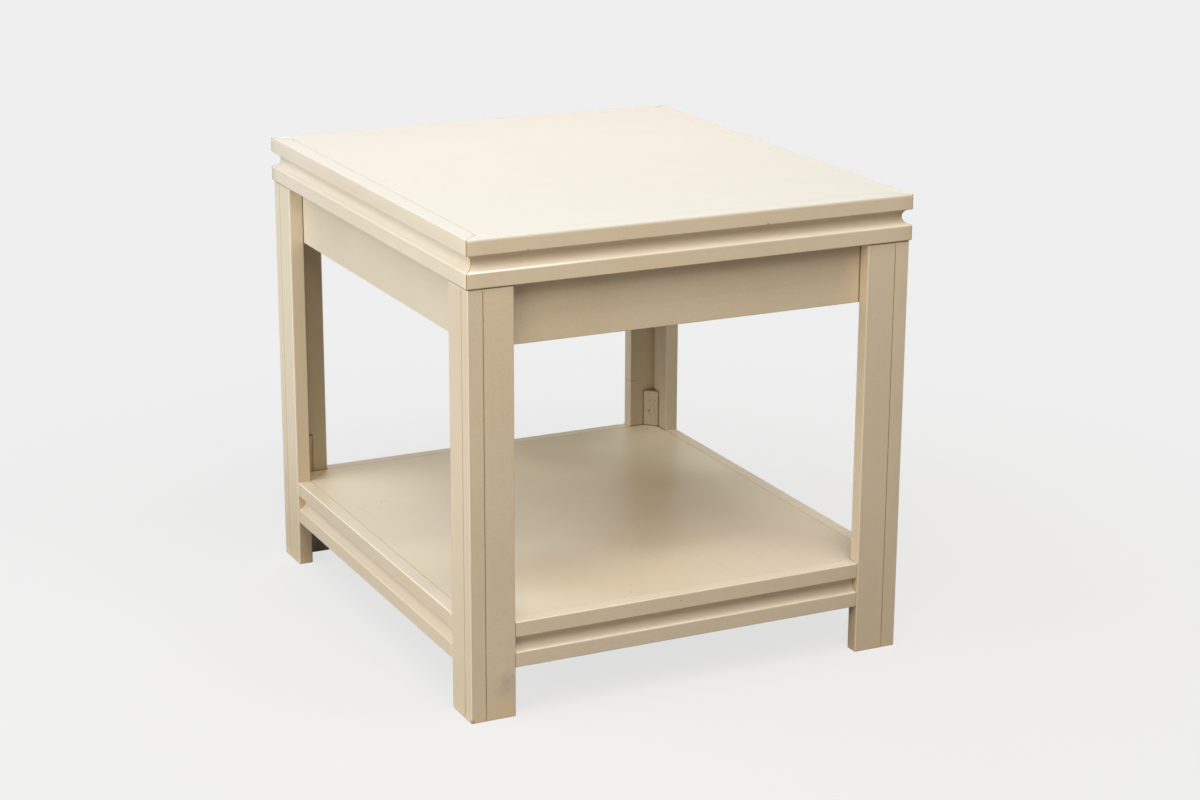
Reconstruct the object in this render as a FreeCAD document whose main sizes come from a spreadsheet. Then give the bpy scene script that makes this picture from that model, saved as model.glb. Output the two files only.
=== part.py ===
import FreeCAD, Part
import os
import re
import Sketcher
from FreeCAD import Placement, Rotation, Vector

# End table with a shelf, made of boards that are glued, screwed and nailed.
# Millimetres. X runs from left to right, Y from front to back, Z up.
# The origin lies on the floor, under the middle of the table.

# ---------------------------------------------------------------- driving dimensions

SIZES = [
    ("table_width", 586.0),
    ("table_depth", 660.0),
    ("table_height", 584.2),
    # Top: a panel inside four mitred edge mouldings. A moulding is a band, a cove and a band.
    ("top_overhang", 2.0),
    ("top_panel_thickness", 19.05),
    ("top_edge_height", 57.15),
    ("top_edge_radius", 2.0),
    ("cove_radius", 9.525),
    ("lip_radius", 0.8),
    ("panel_hairline", 0.4),
    # Legs: a square corner post with a board glued to each inner side, so that the leg is an L.
    ("leg_thickness", 19.05),
    ("leg_board_width", 38.1),
    ("leg_edge_radius", 1.5),
    ("leg_top_easing", 1.0),
    ("joint_vee", 0.8),
    # Apron: four boards behind the legs and the top's mouldings.
    ("apron_thickness", 19.05),
    ("apron_showing", 76.2),
    ("apron_edge_radius", 1.0),
    # Shelf: a panel that fits inside the legs, with mouldings between them.
    ("shelf_clearance", 61.0),
    ("shelf_edge_height", 57.15),
    ("shelf_panel_thickness", 19.05),
    ("shelf_recess", 1.0),
    ("shelf_edge_radius", 1.2),
    # Triangular blocks, each measured along its two square sides.
    ("upper_block_size", 18.0),
    ("upper_block_height", 53.5),
    ("block_easing", 0.8),
    ("lower_block_size", 50.0),
    ("lower_block_height", 32.0),
    ("apron_block_size", 50.0),
    ("apron_block_height", 57.15),
    # Pan-head wood screws.
    ("screw_length", 30.0),
    ("screw_radius", 2.0),
    ("screw_point", 6.0),
    ("screw_head_radius", 4.0),
    ("screw_head_height", 2.6),
    ("screw_head_easing", 1.2),
    ("screw_slot_width", 1.0),
    ("screw_slot_depth", 1.2),
    ("counterbore_radius", 5.0),
    ("leg_screw_margin", 14.0),
    ("leg_screw_spacing", 29.0),
    ("block_screw_grip", 16.0),
    ("block_screw_low", 14.0),
    ("block_screw_high", 40.0),
    ("top_screw_grip", 18.0),
    ("top_screw_inset", 13.0),
    # Nails, each with its head sunk below the surface.
    ("nail_radius", 0.8),
    ("nail_head_radius", 1.2),
    ("nail_head_height", 0.8),
    ("nail_point", 2.5),
    ("nail_sunk", 1.5),
    ("brad_length", 20.0),
    ("shelf_nail_length", 35.0),
    ("upper_brad_cover", 7.0),
    ("upper_brad_height", 23.0),
    ("lower_nail_cover", 25.0),
    ("shelf_nail_inset", 20.0),
]

doc = FreeCAD.newDocument("end_table_with_shelf")
sheet = doc.addObject("Spreadsheet::Sheet", "sizes")
for row, (alias, size) in enumerate(SIZES, 1):
    sheet.set(f"A{row}", alias)
    sheet.set(f"B{row}", str(size))
    sheet.setAlias(f"B{row}", alias)
doc.recompute()

# ---------------------------------------------------------------- sizes that follow from them

LEG_HEIGHT = "(table_height - top_edge_height)"
LEG_WIDTH = "(leg_thickness + leg_board_width)"
LEG_SPAN_X = "(table_width - 2 * top_overhang)"
LEG_SPAN_Y = "(table_depth - 2 * top_overhang)"
INNER_SPAN_X = f"({LEG_SPAN_X} - 2 * leg_thickness)"
INNER_SPAN_Y = f"({LEG_SPAN_Y} - 2 * leg_thickness)"
TOP_EDGE_THICKNESS = "(leg_thickness + top_overhang)"
TOP_UNDERSIDE = "(table_height - top_panel_thickness)"
APRON_BOTTOM = f"({LEG_HEIGHT} - apron_showing)"
APRON_HEIGHT = f"({TOP_UNDERSIDE} - {APRON_BOTTOM})"
APRON_BLOCK_BOTTOM = f"({TOP_UNDERSIDE} - apron_block_height)"
SHELF_TOP = "(shelf_clearance + shelf_edge_height)"
SHELF_UNDERSIDE = f"({SHELF_TOP} - shelf_panel_thickness)"
SHELF_EDGE_THICKNESS = "(leg_thickness - shelf_recess)"
LOWER_BLOCK_BOTTOM = f"({SHELF_UNDERSIDE} - lower_block_height)"

# Heights of the two screws that hold each leg board, and of the two in each apron block.
LEG_SCREW_HEIGHTS = (
    f"({APRON_BOTTOM} + leg_screw_margin)",
    f"({APRON_BOTTOM} + leg_screw_margin + leg_screw_spacing)",
)
# A leg screw goes in halfway between the apron's inside corner and the leg board's edge.
LEG_SCREW_ALONG = "(leg_thickness + (apron_thickness + leg_board_width) / 2)"
# Measured from the inside corner that a block fills.
UPPER_BRAD_ALONG = "(upper_block_size - upper_brad_cover)"
LOWER_NAIL_ALONG = "(lower_block_size - lower_nail_cover)"
BLOCK_SCREW_ALONG = "(apron_block_size / 2)"
# Where the apron's inner faces meet, measured from a leg's outer corner.
APRON_INSIDE = "(leg_thickness + apron_thickness)"
# The wood that is left under a nail's head.
UPPER_BRAD_SEAT = "(upper_brad_cover - nail_sunk - nail_head_height)"
LOWER_NAIL_SEAT = "(lower_nail_cover - nail_sunk - nail_head_height)"
SHELF_NAIL_SEAT = "(shelf_panel_thickness - nail_sunk - nail_head_height)"

# Each leg is drawn from its outer corner, with its boards along +X and +Y. The corners follow
# each other by quarter turns about Z, and each has the signs of its X and Y.
CORNERS = {
    "front_left": ("-", "-"),
    "front_right": ("", "-"),
    "back_right": ("", ""),
    "back_left": ("-", ""),
}
# Each board of a rectangle's side is drawn as the front one, with its outer face on Y = 0. The
# sides follow each other by quarter turns too.
SIDES = ["front", "right", "back", "left"]

# The turn that takes Z to each direction.
TURN_TO = {
    "+X": Rotation(Vector(0, 0, 1), Vector(1, 0, 0)),
    "-X": Rotation(Vector(0, 0, 1), Vector(-1, 0, 0)),
    "+Y": Rotation(Vector(0, 0, 1), Vector(0, 1, 0)),
    "-Y": Rotation(Vector(0, 0, 1), Vector(0, -1, 0)),
    "+Z": Rotation(),
    "-Z": Rotation(Vector(0, 0, 1), Vector(0, 0, -1)),
}

# Lengths under this count as nothing.
TOUCHING = 0.001
# A sketch's lines and circles start about this far out, until their constraints place them.
ROUGH = 10.0

subparts = []

# ---------------------------------------------------------------- helpers


def bind(item, prop, formula):
    """Ties a property to a formula in which the sheet's aliases stand as bare words."""
    item.setExpression(prop, re.sub(r"[a-z]\w*_\w*", lambda word: "sizes." + word.group(), formula))


def bind_base(item, x, y, z):
    for axis, formula in zip("xyz", (x, y, z)):
        bind(item, f"Placement.Base.{axis}", formula)


def new_body(label):
    body = doc.addObject("PartDesign::Body", label)
    body.Label = label
    return body


def sketch_on(body, role):
    """An empty sketch on one of the body's own origin planes."""
    plane = [item for item in body.Origin.OriginFeatures if item.Role == role][0]
    sketch = body.newObject("Sketcher::SketchObject", f"{body.Name}_sketch")
    sketch.AttachmentSupport = [(plane, "")]
    sketch.MapMode = "FlatFace"
    return sketch


def constrain(sketch, name, formula, *constraint):
    index = sketch.addConstraint(Sketcher.Constraint(*constraint))
    sketch.renameConstraint(index, name)
    bind(sketch, f"Constraints.{name}", formula)


def draw_outline(sketch, corners):
    """A closed outline whose corners lie at formulas, measured from the sketch's origin."""
    count = len(corners)
    start = [Rotation(Vector(0, 0, 1), 360.0 * n / count) * Vector(ROUGH, 0, 0) for n in range(count)]
    for n in range(count):
        sketch.addGeometry(Part.LineSegment(start[n], start[(n + 1) % count]), False)
    for n, (x, y) in enumerate(corners):
        sketch.addConstraint(Sketcher.Constraint("Coincident", n, 2, (n + 1) % count, 1))
        constrain(sketch, f"x{n}", x, "DistanceX", -1, 1, n, 1, start[n].x)
        constrain(sketch, f"y{n}", y, "DistanceY", -1, 1, n, 1, start[n].y)


def pad(body, corners, height):
    """The body's first solid: an outline on its XY plane, raised along Z."""
    sketch = sketch_on(body, "XY_Plane")
    draw_outline(sketch, corners)
    feature = body.newObject("PartDesign::Pad", f"{body.Name}_pad")
    feature.Profile = sketch
    bind(feature, "Length", height)
    doc.recompute()


def plough_cove(body, height):
    """The hollow along a moulding's outer face, halfway up."""
    sketch = sketch_on(body, "YZ_Plane")
    sketch.addGeometry(Part.Circle(Vector(0, ROUGH, 0), Vector(0, 0, 1), ROUGH), False)
    sketch.addConstraint(Sketcher.Constraint("PointOnObject", 0, 3, -2))
    constrain(sketch, "middle", f"{height} / 2", "DistanceY", -1, 1, 0, 3, ROUGH)
    constrain(sketch, "cove", "cove_radius", "Radius", 0, ROUGH)
    before = body.Shape.Volume
    feature = body.newObject("PartDesign::Pocket", f"{body.Name}_cove")
    feature.Profile = sketch
    feature.Type = "ThroughAll"
    feature.SideType = "Symmetric"
    doc.recompute()
    check_cut(body, before)


def check_cut(body, before):
    if body.Shape.Volume > before - TOUCHING:
        raise RuntimeError(f"nothing was cut from {body.Label}")


def drill(body, direction, radius, depth, x, y, z):
    """A round hole that starts at a point of the body's own frame and runs along a direction."""
    before = body.Shape.Volume
    hole = body.newObject("PartDesign::SubtractiveCylinder", f"{body.Name}_hole")
    hole.Placement = Placement(Vector(), TURN_TO[direction])
    bind_base(hole, x, y, z)
    bind(hole, "Radius", radius)
    bind(hole, "Height", depth)
    doc.recompute()
    check_cut(body, before)


def drill_with_seat(body, direction, radii, depth, x, y, z, seat):
    """A hole for a fastener's shank, which widens for the head at a seat along the hole."""
    shank, head = radii
    drill(body, direction, shank, depth, x, y, z)
    start = [seat if axis in direction else value for axis, value in zip("XYZ", (x, y, z))]
    drill(body, direction, head, depth, *start)


def side_of(span, limits):
    """Whether an edge's short span lies at the low side, at the high side or between them."""
    if span[1] - span[0] > TOUCHING:
        return "long"
    if span[1] - limits[0] < TOUCHING:
        return "low"
    if limits[1] - span[0] < TOUCHING:
        return "high"
    return "between"


def spans(shape):
    points = [vertex.Point for vertex in shape.Vertexes]
    return [(min(p[n] for p in points), max(p[n] for p in points)) for n in range(3)]


def edge_names(shape, wanted):
    """Names of the straight edges whose x, y and z sides are as wanted, such as long low high."""
    limits = spans(shape)
    names = []
    for number, edge in enumerate(shape.Edges, 1):
        if edge.Curve.TypeId != "Part::GeomLine":
            continue
        found = " ".join(side_of(s, limit) for s, limit in zip(spans(edge), limits))
        if found in wanted:
            names.append(f"Edge{number}")
    return names


def dress_edges(body, kind, prop, formula, *wanted):
    """A PartDesign Fillet or Chamfer on the edges at the wanted sides of the body."""
    base = body.Tip
    names = edge_names(base.Shape, wanted)
    if not names:
        raise RuntimeError(f"{body.Label} has no edge at {wanted}")
    feature = body.newObject(f"PartDesign::{kind}", f"{body.Name}_{kind.lower()}")
    feature.Base = (base, names)
    bind(feature, prop, formula)
    doc.recompute()


def round_edges(body, radius, *wanted):
    dress_edges(body, "Fillet", "Radius", radius, *wanted)


def chamfer_edges(body, size, *wanted):
    dress_edges(body, "Chamfer", "Size", size, *wanted)


def turned(quarter, x, y):
    """The X and Y formulas of a point after quarter turns about Z."""
    return [(x, y), (f"-({y})", x), (f"-({x})", f"-({y})"), (y, f"-({x})")][quarter]


def place(item, quarter, x, y, z, up="+Z"):
    """Turns an item so that its own Z points up, or another way, and then by quarter turns."""
    item.Placement = Placement(Vector(), Rotation(Vector(0, 0, 1), 90 * quarter) * TURN_TO[up])
    bind_base(item, x, y, z)


def place_at_corner(item, corner, x, y, z, up="+Z"):
    """Puts an item at a point of a leg's frame, measured from the leg's outer corner."""
    quarter = list(CORNERS).index(corner)
    sign_x, sign_y = CORNERS[corner]
    turned_x, turned_y = turned(quarter, x, y)
    world_x = f"{sign_x}{LEG_SPAN_X} / 2 + {turned_x}"
    world_y = f"{sign_y}{LEG_SPAN_Y} / 2 + {turned_y}"
    place(item, quarter, world_x, world_y, z, up)


def place_at_side(item, side, span_x, span_y, z):
    """Puts a side board's outer face on one side of a rectangle about the origin."""
    quarter = SIDES.index(side)
    distance = f"{span_x} / 2" if side in ("left", "right") else f"{span_y} / 2"
    x, y = turned(quarter, "0", f"-{distance}")
    place(item, quarter, x, y, z)


def box_corners(x_low, y_low, x_high, y_high):
    return [(x_low, y_low), (x_high, y_low), (x_high, y_high), (x_low, y_high)]


def keep(item):
    subparts.append(item)


# Radii of a fastener's hole: round its shank and round its head.
SCREW_HOLE = ("screw_radius", "counterbore_radius")
NAIL_HOLE = ("nail_radius", "nail_head_radius")

# ---------------------------------------------------------------- panels


def make_panel(label, thickness, bottom):
    """A flat panel as large as the space inside the legs, with its top edges just broken."""
    panel = new_body(label)
    half_x, half_y = f"{INNER_SPAN_X} / 2", f"{INNER_SPAN_Y} / 2"
    pad(panel, box_corners(f"-{half_x}", f"-{half_y}", half_x, half_y), thickness)
    chamfer_edges(panel, "panel_hairline", "long low high", "long high high")
    chamfer_edges(panel, "panel_hairline", "low long high", "high long high")
    place(panel, 0, "0", "0", bottom)
    keep(panel)
    return panel


top_panel = make_panel("top_panel", "top_panel_thickness", TOP_UNDERSIDE)
shelf_panel = make_panel("shelf_panel", "shelf_panel_thickness", SHELF_UNDERSIDE)

# Pilot holes for the screws that come up through the apron's corner blocks, and the holes of the
# nails that go down through the shelf into the blocks under it.
TOP_SCREW_FROM_EDGE = "(apron_thickness + top_screw_inset)"
for sign_x in ("-", ""):
    for sign_y in ("-", ""):
        x = f"{sign_x}({INNER_SPAN_X} / 2 - {TOP_SCREW_FROM_EDGE})"
        y = f"{sign_y}({INNER_SPAN_Y} / 2 - {TOP_SCREW_FROM_EDGE})"
        drill(top_panel, "+Z", "screw_radius", "screw_length - top_screw_grip", x, y, "0")
        x = f"{sign_x}({INNER_SPAN_X} / 2 - shelf_nail_inset)"
        y = f"{sign_y}({INNER_SPAN_Y} / 2 - shelf_nail_inset)"
        thickness = "shelf_panel_thickness"
        drill_with_seat(shelf_panel, "+Z", NAIL_HOLE, thickness, x, y, "0", SHELF_NAIL_SEAT)

# ---------------------------------------------------------------- edge mouldings


def make_moulding(label, outer_length, inner_length, thickness, height):
    """A band, cove and band moulding. The inner length is shorter where the ends are mitred."""
    moulding = new_body(label)
    corners = [
        (f"-{outer_length} / 2", "0"),
        (f"{outer_length} / 2", "0"),
        (f"{inner_length} / 2", thickness),
        (f"-{inner_length} / 2", thickness),
    ]
    pad(moulding, corners, height)
    plough_cove(moulding, height)
    round_edges(moulding, "lip_radius", "long low between")
    return moulding


for side in SIDES:
    across = side in ("front", "back")
    length = "table_width" if across else "table_depth"
    moulding = make_moulding(
        f"top_edge_{side}",
        length,
        f"({length} - 2 * {TOP_EDGE_THICKNESS})",
        TOP_EDGE_THICKNESS,
        "top_edge_height",
    )
    round_edges(moulding, "top_edge_radius", "long low high", "long low low")
    place_at_side(moulding, side, "table_width", "table_depth", LEG_HEIGHT)
    keep(moulding)

for side in SIDES:
    across = side in ("front", "back")
    length = f"({LEG_SPAN_X if across else LEG_SPAN_Y} - 2 * {LEG_WIDTH})"
    moulding = make_moulding(
        f"shelf_edge_{side}", length, length, SHELF_EDGE_THICKNESS, "shelf_edge_height"
    )
    round_edges(moulding, "shelf_edge_radius", "long low high", "long low low")
    face_span_x = f"({LEG_SPAN_X} - 2 * shelf_recess)"
    face_span_y = f"({LEG_SPAN_Y} - 2 * shelf_recess)"
    place_at_side(moulding, side, face_span_x, face_span_y, "shelf_clearance")
    keep(moulding)

# ---------------------------------------------------------------- legs

# What a leg board's holes need: distance along the board's face, height, radius and depth.
LEG_SCREW_HOLES = [
    (LEG_SCREW_ALONG, height, "screw_radius", "screw_length - apron_thickness")
    for height in LEG_SCREW_HEIGHTS
]
BLOCK_NAIL_HOLES = [
    (
        f"leg_thickness + {UPPER_BRAD_ALONG}",
        f"{SHELF_TOP} + upper_brad_height",
        "nail_radius",
        f"brad_length - {UPPER_BRAD_SEAT}",
    ),
    (
        f"leg_thickness + {LOWER_NAIL_ALONG}",
        f"{LOWER_BLOCK_BOTTOM} + lower_block_height / 2",
        "nail_radius",
        f"shelf_nail_length - {LOWER_NAIL_SEAT}",
    ),
]

for quarter, corner in enumerate(CORNERS):
    post = new_body(f"{corner}_leg_post")
    pad(post, box_corners("0", "0", "leg_thickness", "leg_thickness"), LEG_HEIGHT)
    chamfer_edges(post, "joint_vee", "high low long", "low high long")
    round_edges(post, "leg_edge_radius", "low low long")
    chamfer_edges(post, "leg_top_easing", "long low high", "low long high")

    # The board along the leg frame's X axis faces front or back only on every other leg.
    names = ("side", "face") if quarter % 2 else ("face", "side")

    board_x = new_body(f"{corner}_leg_{names[0]}_board")
    pad(board_x, box_corners("leg_thickness", "0", LEG_WIDTH, "leg_thickness"), LEG_HEIGHT)
    chamfer_edges(board_x, "joint_vee", "low low long")
    round_edges(board_x, "leg_edge_radius", "high low long", "high high long")
    chamfer_edges(board_x, "leg_top_easing", "long low high")
    for along, height, radius, depth in LEG_SCREW_HOLES + BLOCK_NAIL_HOLES:
        drill(board_x, "-Y", radius, depth, along, "leg_thickness", height)

    board_y = new_body(f"{corner}_leg_{names[1]}_board")
    pad(board_y, box_corners("0", "leg_thickness", "leg_thickness", LEG_WIDTH), LEG_HEIGHT)
    chamfer_edges(board_y, "joint_vee", "low low long")
    round_edges(board_y, "leg_edge_radius", "low high long", "high high long")
    chamfer_edges(board_y, "leg_top_easing", "low long high")
    for along, height, radius, depth in LEG_SCREW_HOLES:
        drill(board_y, "-X", radius, depth, "leg_thickness", along, height)

    for piece in (post, board_x, board_y):
        place_at_corner(piece, corner, "0", "0", "0")
        keep(piece)

# ---------------------------------------------------------------- apron

for side in SIDES:
    # The front and back boards run the whole width, and the side boards fit between them.
    across = side in ("front", "back")
    span = INNER_SPAN_X if across else INNER_SPAN_Y
    length = span if across else f"({span} - 2 * apron_thickness)"
    apron = new_body(f"apron_{side}")
    pad(apron, box_corners(f"-{length} / 2", "0", f"{length} / 2", "apron_thickness"), APRON_HEIGHT)
    round_edges(apron, "apron_edge_radius", "long low low", "long high low")
    leg_screw = f"({span} / 2 + leg_thickness - {LEG_SCREW_ALONG})"
    block_screw = f"({span} / 2 - apron_thickness - {BLOCK_SCREW_ALONG})"
    block_screw_bite = "screw_length - block_screw_grip"
    for sign, block_height in (("-", "block_screw_low"), ("", "block_screw_high")):
        for height in LEG_SCREW_HEIGHTS:
            x, z = f"{sign}{leg_screw}", f"{height} - {APRON_BOTTOM}"
            drill(apron, "+Y", "screw_radius", "apron_thickness", x, "0", z)
        x, z = f"{sign}{block_screw}", f"{APRON_BLOCK_BOTTOM} + {block_height} - {APRON_BOTTOM}"
        drill(apron, "-Y", "screw_radius", block_screw_bite, x, "apron_thickness", z)
    place_at_side(apron, side, INNER_SPAN_X, INNER_SPAN_Y, APRON_BOTTOM)
    keep(apron)

# ---------------------------------------------------------------- corner blocks


def make_block(label, size, height):
    """A block with a right-angled triangle as its plan, its square corner at the frame's origin.
    The long side's top and bottom edges are just broken."""
    block = new_body(label)
    pad(block, [("0", "0"), (size, "0"), ("0", size)], height)
    chamfer_edges(block, "block_easing", "long long high", "long long low")
    return block


for corner in CORNERS:
    height = "upper_block_height"
    block = make_block(f"shelf_upper_block_{corner}", "upper_block_size", height)
    brad = (UPPER_BRAD_ALONG, "0", "upper_brad_height")
    drill_with_seat(block, "+Y", NAIL_HOLE, "upper_block_size", *brad, UPPER_BRAD_SEAT)
    place_at_corner(block, corner, "leg_thickness", "leg_thickness", SHELF_TOP)
    keep(block)

    height = "lower_block_height"
    block = make_block(f"shelf_lower_block_{corner}", "lower_block_size", height)
    nail = (LOWER_NAIL_ALONG, "0", f"{height} / 2")
    drill_with_seat(block, "+Y", NAIL_HOLE, "lower_block_size", *nail, LOWER_NAIL_SEAT)
    nail_from_shelf = ("shelf_nail_inset", "shelf_nail_inset", height)
    drill(block, "-Z", "nail_radius", f"shelf_nail_length - {SHELF_NAIL_SEAT}", *nail_from_shelf)
    place_at_corner(block, corner, "leg_thickness", "leg_thickness", LOWER_BLOCK_BOTTOM)
    keep(block)

    size, height = "apron_block_size", "apron_block_height"
    block = make_block(f"apron_corner_block_{corner}", size, height)
    low_screw = (BLOCK_SCREW_ALONG, "0", "block_screw_low")
    drill_with_seat(block, "+Y", SCREW_HOLE, size, *low_screw, "block_screw_grip")
    high_screw = ("0", BLOCK_SCREW_ALONG, "block_screw_high")
    drill_with_seat(block, "+X", SCREW_HOLE, size, *high_screw, "block_screw_grip")
    top_screw = ("top_screw_inset", "top_screw_inset", height)
    drill_with_seat(block, "-Z", SCREW_HOLE, height, *top_screw, f"{height} - top_screw_grip")
    place_at_corner(block, corner, APRON_INSIDE, APRON_INSIDE, APRON_BLOCK_BOTTOM)
    keep(block)

# ---------------------------------------------------------------- screws and nails


def make_fastener(label, length, radius, point, head_radius, head_height):
    """A turned fastener that points down Z, with the underside of its head at the origin."""
    fastener = new_body(label)
    sketch = sketch_on(fastener, "XZ_Plane")
    profile = [
        ("0", head_height),
        (head_radius, head_height),
        (head_radius, "0"),
        (radius, "0"),
        (radius, f"{point} - {length}"),
        ("0", f"-{length}"),
    ]
    draw_outline(sketch, profile)
    turning = fastener.newObject("PartDesign::Revolution", f"{fastener.Name}_turning")
    turning.Profile = sketch
    turning.ReferenceAxis = (sketch, ["V_Axis"])
    turning.Angle = 360
    doc.recompute()
    return fastener


screw = make_fastener(
    "screw", "screw_length", "screw_radius", "screw_point", "screw_head_radius", "screw_head_height"
)
turning = screw.Tip
head_top = sheet.screw_head_height - TOUCHING
rim = []
for number, edge in enumerate(turning.Shape.Edges, 1):
    if edge.Curve.TypeId == "Part::GeomCircle" and edge.CenterOfMass.z > head_top:
        rim.append(f"Edge{number}")
dome = screw.newObject("PartDesign::Fillet", "screw_dome")
dome.Base = (turning, rim)
bind(dome, "Radius", "screw_head_easing")
doc.recompute()
slot = screw.newObject("PartDesign::SubtractiveBox", "screw_slot")
bind(slot, "Length", "2 * screw_head_radius")
bind(slot, "Width", "screw_slot_width")
bind(slot, "Height", "screw_slot_depth")
bind_base(slot, "-screw_head_radius", "-screw_slot_width / 2", "screw_head_height - screw_slot_depth")
doc.recompute()

NAIL = ("nail_radius", "nail_point", "nail_head_radius", "nail_head_height")
brad = make_fastener("brad", "brad_length", *NAIL)
shelf_nail = make_fastener("shelf_nail", "shelf_nail_length", *NAIL)


def group(label, fastener, seats):
    """One sub-part of several fasteners. Each seat is a point of a leg's frame and the direction
    that the head faces, and it repeats at the four corners."""
    links = []
    for corner in CORNERS:
        for x, y, z, head_faces in seats:
            link = doc.addObject("App::Link", f"{label}_copy")
            link.LinkedObject = fastener
            place_at_corner(link, corner, x, y, z, head_faces)
            links.append(link)
    compound = doc.addObject("Part::Compound", label)
    compound.Label = label
    compound.Links = links
    keep(compound)


leg_seats = []
for height in LEG_SCREW_HEIGHTS:
    leg_seats.append((LEG_SCREW_ALONG, APRON_INSIDE, height, "+Y"))
    leg_seats.append((APRON_INSIDE, LEG_SCREW_ALONG, height, "+X"))
group("leg_screws", screw, leg_seats)

block_seat = f"{APRON_INSIDE} + block_screw_grip"
block_along = f"{APRON_INSIDE} + {BLOCK_SCREW_ALONG}"
low_seat = (block_along, block_seat, f"{APRON_BLOCK_BOTTOM} + block_screw_low", "+Y")
high_seat = (block_seat, block_along, f"{APRON_BLOCK_BOTTOM} + block_screw_high", "+X")
group("apron_block_screws", screw, [low_seat, high_seat])

top_inset = f"{APRON_INSIDE} + top_screw_inset"
group("top_screws", screw, [(top_inset, top_inset, f"{TOP_UNDERSIDE} - top_screw_grip", "-Z")])

upper_along = f"leg_thickness + {UPPER_BRAD_ALONG}"
upper_seat = f"leg_thickness + {UPPER_BRAD_SEAT}"
upper_height = f"{SHELF_TOP} + upper_brad_height"
group("upper_block_brads", brad, [(upper_along, upper_seat, upper_height, "+Y")])

lower_along = f"leg_thickness + {LOWER_NAIL_ALONG}"
lower_seat = f"leg_thickness + {LOWER_NAIL_SEAT}"
lower_height = f"{LOWER_BLOCK_BOTTOM} + lower_block_height / 2"
group("lower_block_nails", shelf_nail, [(lower_along, lower_seat, lower_height, "+Y")])

shelf_inset = "leg_thickness + shelf_nail_inset"
shelf_seat = f"{SHELF_UNDERSIDE} + {SHELF_NAIL_SEAT}"
group("shelf_nails", shelf_nail, [(shelf_inset, shelf_inset, shelf_seat, "+Z")])

# ---------------------------------------------------------------- checks and files

doc.recompute()
for item in doc.Objects:
    if "Invalid" in item.State or "Error" in item.State:
        raise RuntimeError(f"{item.Name} did not compute: {item.State}")
for item in subparts:
    if item.Shape.isNull() or not item.Shape.isValid() or not item.Shape.Solids:
        raise RuntimeError(f"{item.Label} has no sound shape")

os.makedirs("parts", exist_ok=True)
for item in subparts:
    item.Shape.exportStep(os.path.join("parts", f"{item.Label}.step"))
    print(f"{item.Label}: {len(item.Shape.Solids)} solid(s), {item.Shape.Volume / 1000:.1f} cm3")
print(f"{len(subparts)} sub-parts written")
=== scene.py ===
# %% [markdown]
# # An end table in cream lacquer
#
# The table is a box of plain boards: four L-shaped legs, an apron behind them, a moulded top and a
# moulded shelf. The boards are there already, as solids of their real size and place. This script
# gives them the finish of a sprayed table, makes the mouldings, the screws and the nails again with
# Geometry Nodes, and sets up a floor, a soft studio light and a camera.
#
# Everything is in metres. X runs from left to right, Y from front to back and Z up, and the origin
# lies on the floor under the middle of the table.

# %% Load the table
import math

import bmesh
import bpy
from mathutils import Matrix, Vector


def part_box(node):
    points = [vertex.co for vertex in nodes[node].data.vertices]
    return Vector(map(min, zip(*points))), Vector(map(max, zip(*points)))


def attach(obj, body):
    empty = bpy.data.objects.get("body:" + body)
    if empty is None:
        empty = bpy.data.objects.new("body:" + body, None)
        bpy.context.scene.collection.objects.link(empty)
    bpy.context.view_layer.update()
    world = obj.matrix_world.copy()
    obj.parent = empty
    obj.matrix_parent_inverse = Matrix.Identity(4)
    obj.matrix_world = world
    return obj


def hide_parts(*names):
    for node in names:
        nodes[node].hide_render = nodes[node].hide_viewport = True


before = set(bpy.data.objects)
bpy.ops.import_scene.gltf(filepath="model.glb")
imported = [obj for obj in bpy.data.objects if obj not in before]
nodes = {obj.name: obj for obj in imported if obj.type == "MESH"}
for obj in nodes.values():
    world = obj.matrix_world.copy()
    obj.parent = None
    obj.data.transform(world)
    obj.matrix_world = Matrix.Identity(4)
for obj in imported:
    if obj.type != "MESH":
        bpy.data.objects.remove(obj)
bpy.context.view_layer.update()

MM = 0.001
print(len(nodes), "boards, blocks and groups of fasteners")

# %% [markdown]
# ## Camera
#
# The table is seen from above its front left corner through a long lens, so its edges stay nearly
# parallel. A camera looks down its own -Z. It is rolled a little about that axis, tilted up from
# straight down to just under the horizon, and then turned to the right about Z.

# %% Camera
LENS = 78.462
SENSOR_WIDTH = 36.0
CAMERA_PLACE = Vector((-1.39947, -2.94481, 1.25131))
TURN, TILT, ROLL = (math.radians(angle) for angle in (-25.9636, 90.0 - 16.7132, 0.2591))


def add_object(name, data):
    """A new object in the scene."""
    made = bpy.data.objects.new(name, data)
    bpy.context.scene.collection.objects.link(made)
    return made


camera = add_object("camera", bpy.data.cameras.new("camera"))
camera.data.lens = LENS
camera.data.sensor_width = SENSOR_WIDTH
camera.matrix_world = (
    Matrix.Translation(CAMERA_PLACE)
    @ Matrix.Rotation(TURN, 4, "Z")
    @ Matrix.Rotation(TILT, 4, "X")
    @ Matrix.Rotation(ROLL, 4, "Z")
)
bpy.context.scene.camera = camera
print("camera at", tuple(round(value, 3) for value in CAMERA_PLACE))

# %% [markdown]
# ## Writing node trees as Python
#
# Materials, shapes and the world are all trees of small nodes, and much of each tree is
# arithmetic. Placing Math nodes one by one hides the formula. So a small class wraps a socket, and
# its operators add the Math nodes: `1 - mask` reads as it would on paper. Every other node comes
# from one method, which takes its type, its settings, and the values or links of its sockets.

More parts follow.
